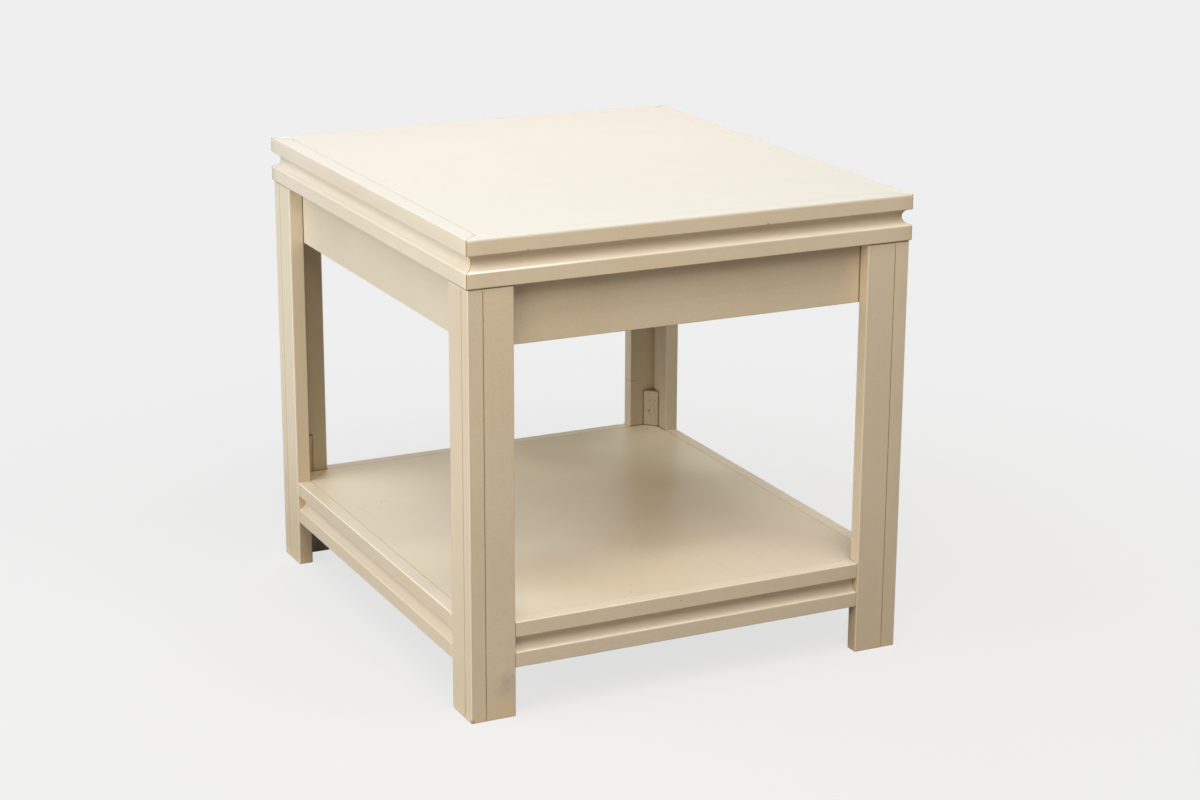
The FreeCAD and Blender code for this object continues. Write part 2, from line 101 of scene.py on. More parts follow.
# %% A socket that can be reckoned with
class Value:
    """An output socket of a tree. Arithmetic on it adds Math nodes."""

    def __init__(self, tree, socket):
        self.tree = tree
        self.socket = socket

    def math(self, operation, *values):
        return self.tree.node("ShaderNodeMath", {"operation": operation}, dict(enumerate(values)))

    def __add__(self, other):
        return self.math("ADD", self, other)

    __radd__ = __add__

    def __sub__(self, other):
        return self.math("SUBTRACT", self, other)

    def __rsub__(self, other):
        return self.math("SUBTRACT", other, self)

    def __mul__(self, other):
        return self.math("MULTIPLY", self, other)

    __rmul__ = __mul__

    def __truediv__(self, other):
        return self.math("DIVIDE", self, other)

    def __rtruediv__(self, other):
        return self.math("DIVIDE", other, self)

    def __neg__(self):
        return self.math("MULTIPLY", self, -1.0)

    def __abs__(self):
        return self.math("ABSOLUTE", self)

    def low(self, other):
        """The smaller of the two."""
        return self.math("MINIMUM", self, other)

    def high(self, other):
        """The larger of the two."""
        return self.math("MAXIMUM", self, other)

    def ramp(self, start, end, low=0.0, high=1.0):
        """Goes smoothly from low to high while the value goes from start to end."""
        inputs = {"Value": self, "From Min": start, "From Max": end, "To Min": low, "To Max": high}
        return self.tree.node("ShaderNodeMapRange", {"interpolation_type": "SMOOTHSTEP"}, inputs)

    def fade(self, start, end):
        """Goes smoothly from 1 to 0."""
        return self.ramp(start, end, 1.0, 0.0)


# %% A tree that is built node by node
class Tree:
    def __init__(self, tree):
        self.tree = tree
        tree.nodes.clear()

    def node(self, kind, settings=None, inputs=None, output=0):
        """Adds a node and gives one of its outputs. The settings are set before the sockets."""
        made = self.tree.nodes.new(kind)
        for name, setting in (settings or {}).items():
            setattr(made, name, setting)
        for name, value in (inputs or {}).items():
            if isinstance(value, Value):
                self.tree.links.new(value.socket, made.inputs[name])
            else:
                made.inputs[name].default_value = value
        return Value(self, made.outputs[output]) if len(made.outputs) else None

    def vector(self, operation, *vectors, output=0):
        """A vector, or with output 1 the length or dot product of vectors."""
        inputs = dict(enumerate(vectors))
        return self.node("ShaderNodeVectorMath", {"operation": operation}, inputs, output)

    def split(self, vector):
        """The vector's X, Y and Z, as three values."""
        first = self.node("ShaderNodeSeparateXYZ", inputs={"Vector": vector})
        return [Value(self, socket) for socket in first.socket.node.outputs]

    def join(self, x, y, z):
        return self.node("ShaderNodeCombineXYZ", inputs={"X": x, "Y": y, "Z": z})


# %% [markdown]
# ## Patterns on a board
#
# A finish is made of patterns laid over each other: noise for what is irregular, stripes along the
# grain, lines where boards meet, and a few marks at known places. They all read the place of the
# surface in the table's own frame, so they stay on the wood from every side. Noise that is
# stretched along one axis gives the grain: a board only says which axis it was sawn along.

# %% Patterns for a material
X, Y, Z = 0, 1, 2


class Finish(Tree):
    """A material for one piece. The number shifts its noise, so that no two boards are alike."""

    def __init__(self, name, number=0):
        self.material = bpy.data.materials.new(name)
        self.material.use_nodes = True
        super().__init__(self.material.node_tree)
        self.shift = (number * 1.37, number * 2.11, number * 0.73)
        self.place = self.node("ShaderNodeTexCoord", output="Object")
        self.axes = self.split(self.place)

    def noise(self, waves, detail=2.0, roughness=0.5):
        """Noise about 0.5, with so many waves to the metre, on all axes or on each."""
        scale = waves if isinstance(waves, tuple) else (waves, waves, waves)
        inputs = {"Vector": self.place, "Scale": scale, "Location": self.shift}
        moved = self.node("ShaderNodeMapping", inputs=inputs)
        inputs = {"Vector": moved, "Scale": 1.0, "Detail": detail, "Roughness": roughness}
        return self.node("ShaderNodeTexNoise", inputs=inputs)

    def grain(self, axis, across, along, detail=4.0, roughness=0.6):
        """Noise that is drawn out along an axis."""
        waves = [across, across, across]
        waves[axis] = along
        return self.noise(tuple(waves), detail, roughness)

    def blend(self, factor, first, second):
        """Goes from the first colour to the second as the factor goes from 0 to 1."""
        inputs = {0: factor}
        for socket, colour in ((6, first), (7, second)):
            inputs[socket] = colour if isinstance(colour, Value) else (*colour, 1.0)
        return self.node("ShaderNodeMix", {"data_type": "RGBA"}, inputs, output=2)

    def near_plane(self, axis, plane, width, softness):
        """1 on a plane across an axis, and 0 past half the width on either side."""
        return abs(self.axes[axis] - plane).fade(width / 2, width / 2 + softness)

    def near_point(self, centre, radius, softness):
        """1 inside a ball and 0 outside it."""
        distance = self.vector("DISTANCE", self.place, Vector(centre), output=1)
        return distance.fade(radius, radius + softness)

    def near_line(self, start, end, width, softness):
        """1 on the straight line between two points, and 0 beside it."""
        run = Vector(end) - Vector(start)
        out = self.vector("SUBTRACT", self.place, Vector(start))
        along = self.vector("DOT_PRODUCT", out, run.normalized(), output=1)
        along = along.high(0.0).low(run.length)
        foot = self.vector("MULTIPLY", self.join(along, along, along), run.normalized())
        distance = self.vector("DISTANCE", out, foot, output=1)
        return distance.fade(width / 2, width / 2 + softness)

    def bump(self, height, depth, normal=None):
        """Tilts the normal by a height from 0 to 1, which stands for a real depth."""
        inputs = {"Height": height, "Distance": depth}
        if normal is not None:
            inputs["Normal"] = normal
        return self.node("ShaderNodeBump", inputs=inputs)

    def done(self, inputs):
        """Adds the shader and the material's output."""
        shader = self.node("ShaderNodeBsdfPrincipled", inputs=inputs)
        self.node("ShaderNodeOutputMaterial", inputs={"Surface": shader})
        return self.material


# %% [markdown]
# ## Where the boards meet
#
# The joints follow from the boards' own boxes. The legs show a joint line where the square post
# meets the two boards beside it, and the top and the shelf where the panel meets its mouldings.
# The boards are numbered in alphabetical order. The number shifts a board's noise, and is the same
# each time the script runs.

# %% Joints, from the frame
SIDES = ("front", "right", "back", "left")
CORNERS = {
    "front_left": (-1, -1),
    "front_right": (1, -1),
    "back_right": (1, 1),
    "back_left": (-1, 1),
}
NUMBERS = {node: number for number, node in enumerate(sorted(nodes))}
LEG_JOINT = [abs(value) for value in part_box("front_left_leg_post")[1][:2]]
LEG_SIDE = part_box("front_left_leg_post")[0][X]
LEG_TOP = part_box("front_left_leg_post")[1][Z]
PANEL_JOINT = list(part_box("top_panel")[1][:2])
BETWEEN_LEGS = [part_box("shelf_edge_back")[1][X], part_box("shelf_edge_right")[1][Y]]
SHELF_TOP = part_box("shelf_panel")[1][Z]
TABLE_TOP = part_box("top_panel")[1][Z]


def along_axis(side):
    """The axis that a side of the table runs along."""
    return X if side in ("front", "back") else Y


def outward(side):
    """Which way along its other axis a side faces."""
    return 1 if side in ("right", "back") else -1


def each(names, *values):
    """A value for each side or corner, in the order in which they are named above."""
    return dict(zip(names, values))


print("leg joints at", LEG_JOINT, "and panel joints at", PANEL_JOINT)
print("half the room between the legs:", BETWEEN_LEGS)

# %% [markdown]
# ## The lacquer
#
# The finish is one cream satin lacquer, sprayed over wood. From afar it is one colour. Close up it
# is never flat: it has aged to a warmer cream in broad patches, the grain shows through as faint
# ridges, the spray left a fine orange peel, dust settled in it as specks, and the gloss varies.
#
# Edges get a painted highlight: the lacquer is painted paler there, and made smoother. A point is on
# an edge of a board when two of its three distances to the sides of the board's box are small, that
# is when the middle one of the three is small.
#
# Where two boards meet, the film has cracked to a fine brown line. It lies on a known plane, so
# the distance from that plane is all it takes to draw it, and noise breaks it up.

# %% The lacquer
CREAM = (0.80, 0.715, 0.555)
AGED_CREAM = (0.755, 0.655, 0.485)
HIGHLIGHT_CREAM = (0.93, 0.88, 0.77)
CRACK_AND_SHADE_BROWN = (0.37, 0.22, 0.06)
GAP_SHADE_BROWN = (0.14, 0.09, 0.05)
SPECK_BROWN = (0.40, 0.29, 0.18)
HIGHLIGHT_WIDTH = 1.1 * MM


class Lacquer(Finish):
    """The cream lacquer of one board, before its cracks and marks are drawn."""

    def __init__(self, node, grain_axis, aged=0.5):
        super().__init__(f"lacquer_{node}", NUMBERS[node])
        self.node_name = node
        patches = self.noise(6.0, 4.0, 0.6)
        ridges = self.grain(grain_axis, 240.0, 4.0)
        dust = self.noise(900.0, 2.0, 0.7)
        specks = self.noise(420.0, 2.0, 0.5).ramp(0.76, 0.82)
        self.colour = self.blend(patches.ramp(0.35, 0.7, 0.0, aged), CREAM, AGED_CREAM)
        self.stain(ridges.ramp(0.5, 0.8), aged, AGED_CREAM)
        self.stain(dust.ramp(0.4, 0.7), 0.16, SPECK_BROWN)
        self.stain(specks, 0.35, SPECK_BROWN)
        self.gloss = self.noise(18.0, 3.0, 0.6).ramp(0.3, 0.75, 0.34, 0.44)
        self.normal = self.bump(ridges, 0.06 * MM)
        self.normal = self.bump(self.noise(520.0, 1.0), 0.012 * MM, self.normal)

    def stain(self, mask, strength, colour):
        """Lays a colour over the lacquer where the mask is 1."""
        self.colour = self.blend(mask * strength, self.colour, colour)

    def paint_highlight(self, mask, strength):
        """A painted highlight: the lacquer is painted paler, and made smoother, where the mask is 1.
        """
        uneven = self.noise(30.0, 3.0, 0.6).ramp(0.3, 0.65, 0.6, 1.0)
        self.stain(mask * uneven, strength, HIGHLIGHT_CREAM)
        self.gloss = self.gloss - mask * 0.14

    def highlight_edges(self, strength, joints):
        """A painted highlight along the edges, but not along those beside a joint, given as an axis
        and a distance.
        """
        low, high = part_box(self.node_name)
        middle, half = (low + high) / 2, (high - low) / 2
        a, b, c = [half[axis] - abs(self.axes[axis] - middle[axis]) for axis in (X, Y, Z)]
        second = a.low(b).high(a.high(b).low(c))
        mask = second.fade(HIGHLIGHT_WIDTH / 2, HIGHLIGHT_WIDTH)
        for axis, plane in joints:
            mask = mask * abs(abs(self.axes[axis]) - plane).ramp(HIGHLIGHT_WIDTH, 2 * HIGHLIGHT_WIDTH)
        self.paint_highlight(mask, strength)

    def crack(self, axis, plane, strength, width, broken=0.0, mask=1.0):
        """A brown line where the film has cracked along a joint. Broken lines fade in and out."""
        line = self.near_plane(axis, plane, width, 0.2 * MM) * mask
        if broken:
            line = line * self.noise(22.0, 4.0, 0.6).ramp(0.4, 0.6, 1.0 - broken, 1.0)
        self.stain(line, strength, CRACK_AND_SHADE_BROWN)

    def done(self):
        ragged = self.noise(140.0, 3.0, 0.6).ramp(0.35, 0.6)
        for _, node, centre, radius, strength, colour in MARKS:
            if node == self.node_name:
                spot = self.near_point(centre, radius / 4, radius)
                self.stain(spot * (ragged * 0.6 + 0.4), strength, colour)
        inputs = {"Base Color": self.colour, "Roughness": self.gloss, "Normal": self.normal}
        return super().done(inputs | {"IOR": 1.5})


# %% [markdown]
# ## Marks of use
#
# These are the marks that one can point at. Each has a name, a board, a middle, a radius, a
# strength and a colour. They are small, so a soft round spot is enough for each.

# %% The marks
CHIP_AND_SHADE_BROWN = (0.20, 0.11, 0.05)
PALE_DENT = (0.95, 0.90, 0.78)
SMUDGE_GREY = (0.36, 0.34, 0.31)
FOOT_TAN = (0.86, 0.68, 0.44)
TOP_FRONT = "top_edge_front"
LEG_BOARD = "front_left_leg_face_board"
MARKS = [
    ("chip under the upper band", TOP_FRONT, (-0.2172, -0.330, 0.5655), 0.0022, 0.8, CHIP_AND_SHADE_BROWN),
    ("speck in the cove", TOP_FRONT, (-0.2225, -0.3225, 0.5515), 0.0016, 0.4, CHIP_AND_SHADE_BROWN),
    ("ding in the upper band", TOP_FRONT, (0.0925, -0.330, 0.5655), 0.0024, 0.7, CHIP_AND_SHADE_BROWN),
    ("dirt at the joint's end", "top_panel", (-0.2704, 0.3075, 0.5842), 0.0045, 0.8, CHIP_AND_SHADE_BROWN),
    ("foot chip", "front_left_leg_post", (-0.2905, -0.3275, 0.0005), 0.0045, 0.85, CHIP_AND_SHADE_BROWN),
    ("smudge above the foot", LEG_BOARD, (-0.2435, -0.328, 0.040), 0.022, 0.24, SMUDGE_GREY),
    ("middle of the smudge", LEG_BOARD, (-0.2445, -0.328, 0.043), 0.012, 0.14, SMUDGE_GREY),
    ("tan at the foot", LEG_BOARD, (-0.246, -0.328, 0.0), 0.036, 0.55, FOOT_TAN),
    ("speck on a band", "shelf_edge_front", (-0.0145, -0.327, 0.1092), 0.0014, 0.8, CHIP_AND_SHADE_BROWN),
    ("speck on the shelf", "shelf_panel", (-0.067, -0.2945, SHELF_TOP), 0.0025, 0.4, CHIP_AND_SHADE_BROWN),
    ("dent beside the nail", "shelf_panel", (0.264, 0.2816, SHELF_TOP), 0.002, 0.5, PALE_DENT),
]
print(len(MARKS), "marks")

# %% [markdown]
# ## Panels
#
# The top and the shelf are flat panels with the grain from front to back. Each meets its mouldings in
# a fine line, darker where dirt got in. The shelf also shows a dark line of painted shade in the gap
# beside the legs, a small dark hole over each of its four nails, and three hairline scratches from
# things pushed across it. The top's upper face is painted a paler, greyer cream, with painted shade
# towards its front and, less, its left.
#
# The shelf is painted with light and shade: darker and warmer towards the back as painted shade,
# paler at the left as painted light, and a few broad patches of each. An image would have to be
# painted for that, but a few broad, soft patches do as well: each has a name, a middle, a radius, how
# far it fades out beyond that, a strength and a colour.

# %% The panels' finish
TOP_CRACKS = each(SIDES, 0.3, 0.1, 0.1, 0.9)
SHELF_CRACKS = each(SIDES, 0.4, 0.9, 0.8, 0.95)
SCRATCH_BROWN = (0.50, 0.40, 0.27)
WIPED_CREAM = (0.77, 0.733, 0.652)
TOP_SHADE_GREY = (0.42, 0.455, 0.445)
WARM_CREAM = (0.82, 0.67, 0.41)
PALE_CREAM = (0.90, 0.85, 0.73)
BLEACHED_AND_LIT = (0.96, 0.88, 0.65)
SHELF_TAN = (0.55, 0.43, 0.23)
SHELF_GREY = (0.65, 0.62, 0.55)
SHELF_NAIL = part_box("shelf_nails")[1] - Vector((1.2 * MM, 1.2 * MM, 0.0))
SHELF_SCRATCHES = [
    ((-0.255, 0.142), (-0.247, 0.107)),
    ((-0.232, 0.118), (-0.215, 0.150)),
    ((-0.215, 0.150), (-0.167, 0.105)),
]
SHELF_PATCHES = [
    ("painted shade at the back", (0.12, 0.26), 0.05, 0.09, 0.6, SHELF_TAN),
    ("painted shade at the front left", (-0.12, -0.21), 0.02, 0.11, 0.48, SHELF_TAN),
    ("painted light at the back right", (0.26, 0.18), 0.05, 0.12, 0.9, BLEACHED_AND_LIT),
    ("painted light at the left", (-0.25, -0.08), 0.02, 0.09, 0.5, BLEACHED_AND_LIT),
    ("grey painted shade at the front right", (0.20, -0.25), 0.05, 0.12, 0.3, SHELF_GREY),
]


def crack_beside_panel(finish, cracks, top, sides=SIDES):
    """The joint between a panel and the mouldings on these sides, in the face at this height."""
    in_face = finish.axes[Z].ramp(top - 2 * MM, top - 1 * MM)
    for side in sides:
        across = 1 - along_axis(side)
        joint = outward(side) * PANEL_JOINT[across]
        finish.crack(across, joint, cracks[side], 0.6 * MM, broken=0.3, mask=in_face)


def wipe_top(finish, start=3.2 * MM, end=1.5 * MM):
    """The upper face has been wiped most and is palest. Painted shade darkens its front, and less its
    left.
    """
    upper_face = finish.axes[Z].ramp(TABLE_TOP - start, TABLE_TOP - end)
    finish.stain(upper_face, 0.85, WIPED_CREAM)
    # Painted shade on the upper face, strongest at the front.
    at_front = finish.axes[Y].fade(-0.33, 0.33)
    at_left = finish.axes[X].ramp(-0.3, 0.2, 0.3, 0.0)
    finish.stain(upper_face * (at_front + at_left * (1.0 - at_front)), 0.4, TOP_SHADE_GREY)


def warm_shelf(finish, patchy):
    """The shelf is painted darker and warmer towards the back and paler at the left, as painted shade
    and light, and has patches of both.
    """
    upper_face = finish.axes[Z].ramp(SHELF_TOP - 1.5 * MM, SHELF_TOP - 0.5 * MM)
    # Painted shade towards the back, painted light at the left, and patches of both.
    finish.stain(upper_face * finish.axes[Y].ramp(-0.15, 0.25), 0.7, WARM_CREAM)
    finish.stain(upper_face * finish.axes[X].fade(-0.22, 0.06), 0.45, PALE_CREAM)
    for _, centre, radius, softness, strength, colour in SHELF_PATCHES:
        patch = finish.near_point((*centre, SHELF_TOP), radius, softness)
        finish.stain(upper_face * patch, strength * patchy, colour)


finish = Lacquer("top_panel", Y, aged=0.2)
wipe_top(finish)
crack_beside_panel(finish, TOP_CRACKS, TABLE_TOP)
nodes["top_panel"].data.materials[0] = finish.done()

finish = Lacquer("shelf_panel", Y)
warm_shelf(finish, 1.0)
crack_beside_panel(finish, SHELF_CRACKS, SHELF_TOP)
for x_sign, y_sign in CORNERS.values():
    nail = (x_sign * SHELF_NAIL[X], y_sign * SHELF_NAIL[Y], SHELF_TOP)
    finish.stain(finish.near_point(nail, 1.3 * MM, 0.5 * MM), 0.8, CHIP_AND_SHADE_BROWN)
# A line of painted shade in the gap beside each leg.
for axis in (X, Y):
    across, leg = abs(finish.axes[1 - axis]), BETWEEN_LEGS[1 - axis]
    from_edge = PANEL_JOINT[axis] - abs(finish.axes[axis])
    gap = from_edge.fade(0.5 * MM, 2 * MM) * across.ramp(leg - 1 * MM, leg + 1 * MM)
    finish.stain(gap, 0.55, GAP_SHADE_BROWN)
for start, end in SHELF_SCRATCHES:
    line = finish.near_line((*start, SHELF_TOP), (*end, SHELF_TOP), 0.3 * MM, 0.5 * MM)
    finish.stain(line * finish.noise(90.0).ramp(0.4, 0.6), 0.6, SCRATCH_BROWN)
nodes["shelf_panel"].data.materials[0] = finish.done()
print("panels lacquered, with", len(SHELF_SCRATCHES), "scratches")

# %% [markdown]
# ## Legs
#
# The grain of a leg runs up it. Its two joints are small V-grooves, which the solid already has.
# The lacquer has worked itself out of the bottom of each groove, and left a brown line there. A dark
# line of painted shade shows where a leg meets the top, with a pale painted highlight just under it,
# and where its inner faces meet the shelf.
#
# The lower a leg, the darker and warmer it is painted, as painted shade, and the back left one most.
# The left side of the front left leg has yellowed all the way up, where the sun reached it, and that
# of the back left one was bleached higher up. The narrow end faces that the two right legs turn to
# the left carry the same darker, warmer painted shade. The inner faces carry painted shade, a little
# weaker just over the shelf, and under the shelf they are painted paler instead, as painted light
# where little light reaches. A soft painted shade lies in each inner corner. The feet picked up a tan
# stain from floors and mops, strongest at the very edge. The back right leg has a hairline crack
# straight across its face board.

# %% The legs' finish
YELLOWED_AND_SHADED = (0.69, 0.56, 0.38)
LOW_SHADE_UP_TO = 0.34
LOW_SHADE = each(CORNERS, 0.0, 0.0, 0.1, 0.95)
SUNNED = each(CORNERS, 0.45, 0.0, 0.0, 0.0)
SIDE_BLEACHED = each(CORNERS, 0.0, 0.0, 0.0, 0.3)
END_SHADE = each(CORNERS, 0.0, 0.3, 0.7, 0.0)
INNER_SHADE_CREAM = (0.42, 0.35, 0.235)
INNER_SHADE_STRENGTH = {X: 1.0, Y: 0.75}
CORNER_SHADE = (0.34, 0.28, 0.19)
LESS_SHADE_HEIGHT = 0.14
UNDER_SHELF = (0.045, 0.065)
LEG_CRACK = 0.95
FOOT_STAIN_HEIGHT = 24 * MM
HAIRLINE = (0.236, 0.309, 0.1872)


def darken_inner_face(finish, height, across):
    """Painted shade on the face that a leg's board turns to the inside of the table, weaker just over
    the shelf, with painted light below the shelf and a line of painted shade where it meets the
    shelf.
    """
    joint = LEG_JOINT[across]
    inner_face = abs(finish.axes[across]).fade(joint, joint + 1 * MM)
    less_shaded = height.ramp(SHELF_TOP, SHELF_TOP + LESS_SHADE_HEIGHT, 0.75, 1.0)
    under_shelf = height.fade(*UNDER_SHELF)
    inner = inner_face * less_shaded * (1.0 - under_shelf)
    finish.stain(inner, INNER_SHADE_STRENGTH[across], INNER_SHADE_CREAM)
    finish.stain(inner_face * under_shelf, 0.8, HIGHLIGHT_CREAM)
    # A line of painted shade where the inner face meets the shelf.
    by_shelf = finish.near_plane(Z, SHELF_TOP, 1.2 * MM, 1.4 * MM)
    finish.stain(by_shelf * inner_face, 0.6, GAP_SHADE_BROWN)


def finish_leg(node, corner):
    finish = Lacquer(node, Z)
    height = finish.axes[Z]
    # Painted shade: darker and warmer towards the floor.
    low_down = (height + finish.noise(8.0) * 0.1).fade(0.05, LOW_SHADE_UP_TO)
    finish.stain(low_down, LOW_SHADE[corner], YELLOWED_AND_SHADED)
    side = finish.axes[X].fade(LEG_SIDE + 1 * MM, LEG_SIDE + 3 * MM)
    finish.stain(side * (low_down * 0.5 + 1.0), SUNNED[corner], YELLOWED_AND_SHADED)
    finish.stain(side * (1.0 - low_down), SIDE_BLEACHED[corner], BLEACHED_AND_LIT)
    if "face_board" in node:
        # The end faces that the right legs turn to the left get the same painted shade.
        end = BETWEEN_LEGS[X]
        end_face = abs(finish.axes[X]).fade(end + 0.6 * MM, end + 1.6 * MM)
        finish.stain(end_face * (low_down + 0.5), END_SHADE[corner], YELLOWED_AND_SHADED)
    # A painted highlight along the free edges of the board.
    finish.highlight_edges(0.5, [(X, LEG_JOINT[X]), (Y, LEG_JOINT[Y])])
    x, y = [sign * joint for sign, joint in zip(CORNERS[corner], LEG_JOINT)]
    if "side_board" not in node:
        finish.crack(X, x, LEG_CRACK, 0.8 * MM)
    if "face_board" not in node:
        finish.crack(Y, y, LEG_CRACK, 1.1 * MM)
    # A pale painted highlight just under the top of the board, and above it a line of painted shade
    # where the board meets the top.
    finish.paint_highlight(finish.near_plane(Z, LEG_TOP - 3 * MM, 1.2 * MM, 0.5 * MM), 0.8)
    finish.stain(height.ramp(LEG_TOP - 1.9 * MM, LEG_TOP - 1.5 * MM), 0.8, CRACK_AND_SHADE_BROWN)
    if "post" not in node:
        darken_inner_face(finish, height, Y if "face_board" in node else X)
        # A soft painted shade in the inner corner of the leg.
        in_corner = finish.near_line((x, y, 0.0), (x, y, LEG_TOP), 1 * MM, 7 * MM)
        finish.stain(in_corner, 0.3, CORNER_SHADE)
    creep = finish.noise(40.0, 3.0, 0.6) * 2.0 - 0.2
    finish.stain((creep - height / FOOT_STAIN_HEIGHT).ramp(0.0, 0.9), 0.6, FOOT_TAN)
    finish.stain(height.fade(0.3 * MM, 1.2 * MM), 0.5, CRACK_AND_SHADE_BROWN)
    if node == "back_right_leg_face_board":
        hairline = finish.near_plane(Z, HAIRLINE[Z], 0.5 * MM, 0.4 * MM)
        hairline = hairline * finish.near_point(HAIRLINE, 8 * MM, 9 * MM)
        finish.stain(hairline, 0.55, CHIP_AND_SHADE_BROWN)
    return finish.done()


for corner in CORNERS:
    for board in ("post", "face_board", "side_board"):
        node = f"{corner}_leg_{board}"
        nodes[node].data.materials[0] = finish_leg(node, corner)
print("12 boards of the legs lacquered")

# %% [markdown]
# ## Aprons
#
# An apron runs behind the legs, and is seen between them. Its corners carry painted shade: a dark
# line beside each leg, and a soft band under the top.

# %% The aprons' finish
OVERHANG_SHADE = (0.48, 0.30, 0.13)
for side in SIDES:
    node = f"apron_{side}"
    axis = along_axis(side)
    finish = Lacquer(node, axis, aged=0.6)
    # Painted shade: a soft band under the top, and a dark line beside each leg.
    shade_under_top = finish.axes[Z].ramp(LEG_TOP - 20 * MM, LEG_TOP - 2 * MM)
    finish.stain(shade_under_top, 0.35, OVERHANG_SHADE)
    shade_beside_leg = abs(abs(finish.axes[axis]) - BETWEEN_LEGS[axis]).fade(0.5 * MM, 1.6 * MM)
    outer = PANEL_JOINT[1 - axis]
    outer_face = abs(finish.axes[1 - axis]).ramp(outer - 2 * MM, outer - 1 * MM)
    finish.stain(shade_beside_leg * outer_face, 0.85, CHIP_AND_SHADE_BROWN)
    nodes[node].data.materials[0] = finish.done()
print("4 aprons lacquered")

# %% [markdown]
# ## Blocks
#
# The small blocks that stand on the shelf were sprayed with the rest, but over coarse, unsanded wood,
# so their pores show as short dark dashes, and a line of painted shade runs along their edges, where
# they touch the legs.
# From corner to corner a block is turned a quarter, and the hole of its brad lies a little to one
# side of its middle. The blocks under the shelf and inside the apron were never meant to be seen.
# They are bare wood, with the pale bands and darker lines of its grain and some overspray.

# %% The blocks' finishes
BARE_WOOD = (0.50, 0.345, 0.205)
DARK_GRAIN = (0.30, 0.185, 0.10)
PORE_BROWN = (0.16, 0.10, 0.055)
BLOCK_OLIVE = (0.38, 0.31, 0.17)
BRAD_HEIGHT = sum(corner[Z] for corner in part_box("upper_block_brads")) / 2
BRAD_ASIDE = 2 * MM


def pores(finish, axis):
    """Short dark dashes along the grain."""
    return finish.grain(axis, 1800.0, 380.0, 1.0, 0.4).ramp(0.56, 0.64)


def finish_upper_block(node, corner):
    finish = Lacquer(node, Z, aged=1.0)
    finish.stain(1.0, 0.65, BLOCK_OLIVE)
    coarse = finish.grain(Z, 600.0, 30.0, 3.0, 0.7)
    finish.stain(coarse.ramp(0.45, 0.75), 0.35, SPECK_BROWN)
    finish.stain(pores(finish, Z), 0.6, PORE_BROWN)
    finish.normal = finish.bump(coarse, 0.2 * MM, finish.normal)
    low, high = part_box(node)
    middle = (low + high) / 2
    # Painted shade along the edges of the block.
    for axis, half in enumerate((high - low) / 2):
        from_middle = abs(finish.axes[axis] - middle[axis])
        finish.stain(from_middle.ramp(half - 1.8 * MM, half - 0.8 * MM), 0.85, GAP_SHADE_BROWN)
    x_sign, y_sign = CORNERS[corner]
    aside = Vector((-y_sign, x_sign, 0.0)) * BRAD_ASIDE
    hole = Vector((middle[X], middle[Y], BRAD_HEIGHT)) + aside
    finish.stain(finish.near_point(hole, 1.3 * MM, 0.8 * MM), 0.9, PORE_BROWN)
    return finish.done()


def bare_wood(node, axis):
    finish = Finish(f"bare_{node}", NUMBERS[node])
    bands = finish.grain(axis, 60.0, 3.0, 5.0, 0.55)
    lines = finish.grain(axis, 500.0, 9.0, 4.0, 0.65)
    colour = finish.blend(bands.ramp(0.35, 0.65, 0.0, 0.6), BARE_WOOD, DARK_GRAIN)
    colour = finish.blend(lines.ramp(0.5, 0.75, 0.0, 0.5), colour, DARK_GRAIN)
    colour = finish.blend(pores(finish, axis) * 0.7, colour, PORE_BROWN)
    overspray = finish.noise(35.0, 4.0, 0.7).ramp(0.55, 0.75, 0.0, 0.35)
    colour = finish.blend(overspray, colour, CREAM)
    normal = finish.bump(lines, 0.25 * MM)
    gloss = bands.ramp(0.3, 0.7, 0.62, 0.8)
    return finish.done({"Base Color": colour, "Roughness": gloss, "Normal": normal})


for corner in CORNERS:
    node = f"shelf_upper_block_{corner}"
    nodes[node].data.materials[0] = finish_upper_block(node, corner)
    for node in (f"shelf_lower_block_{corner}", f"apron_corner_block_{corner}"):
        nodes[node].data.materials[0] = bare_wood(node, Z)
print("12 blocks finished")

# %% [markdown]
# ## Shapes from Geometry Nodes
#
# A shape that follows a rule is better made by a tree than by hand. The tree gets named inputs for
# its sizes, so one tree makes every moulding and another every fastener. The result is then turned
# into a plain mesh, because the finished piece has to be a mesh of its own, with its place in the
# mesh and no modifier left on it.

# %% A Geometry Nodes tree with named sizes
SHARP_ANGLE = math.radians(32)
DOUBLED = 0.002 * MM


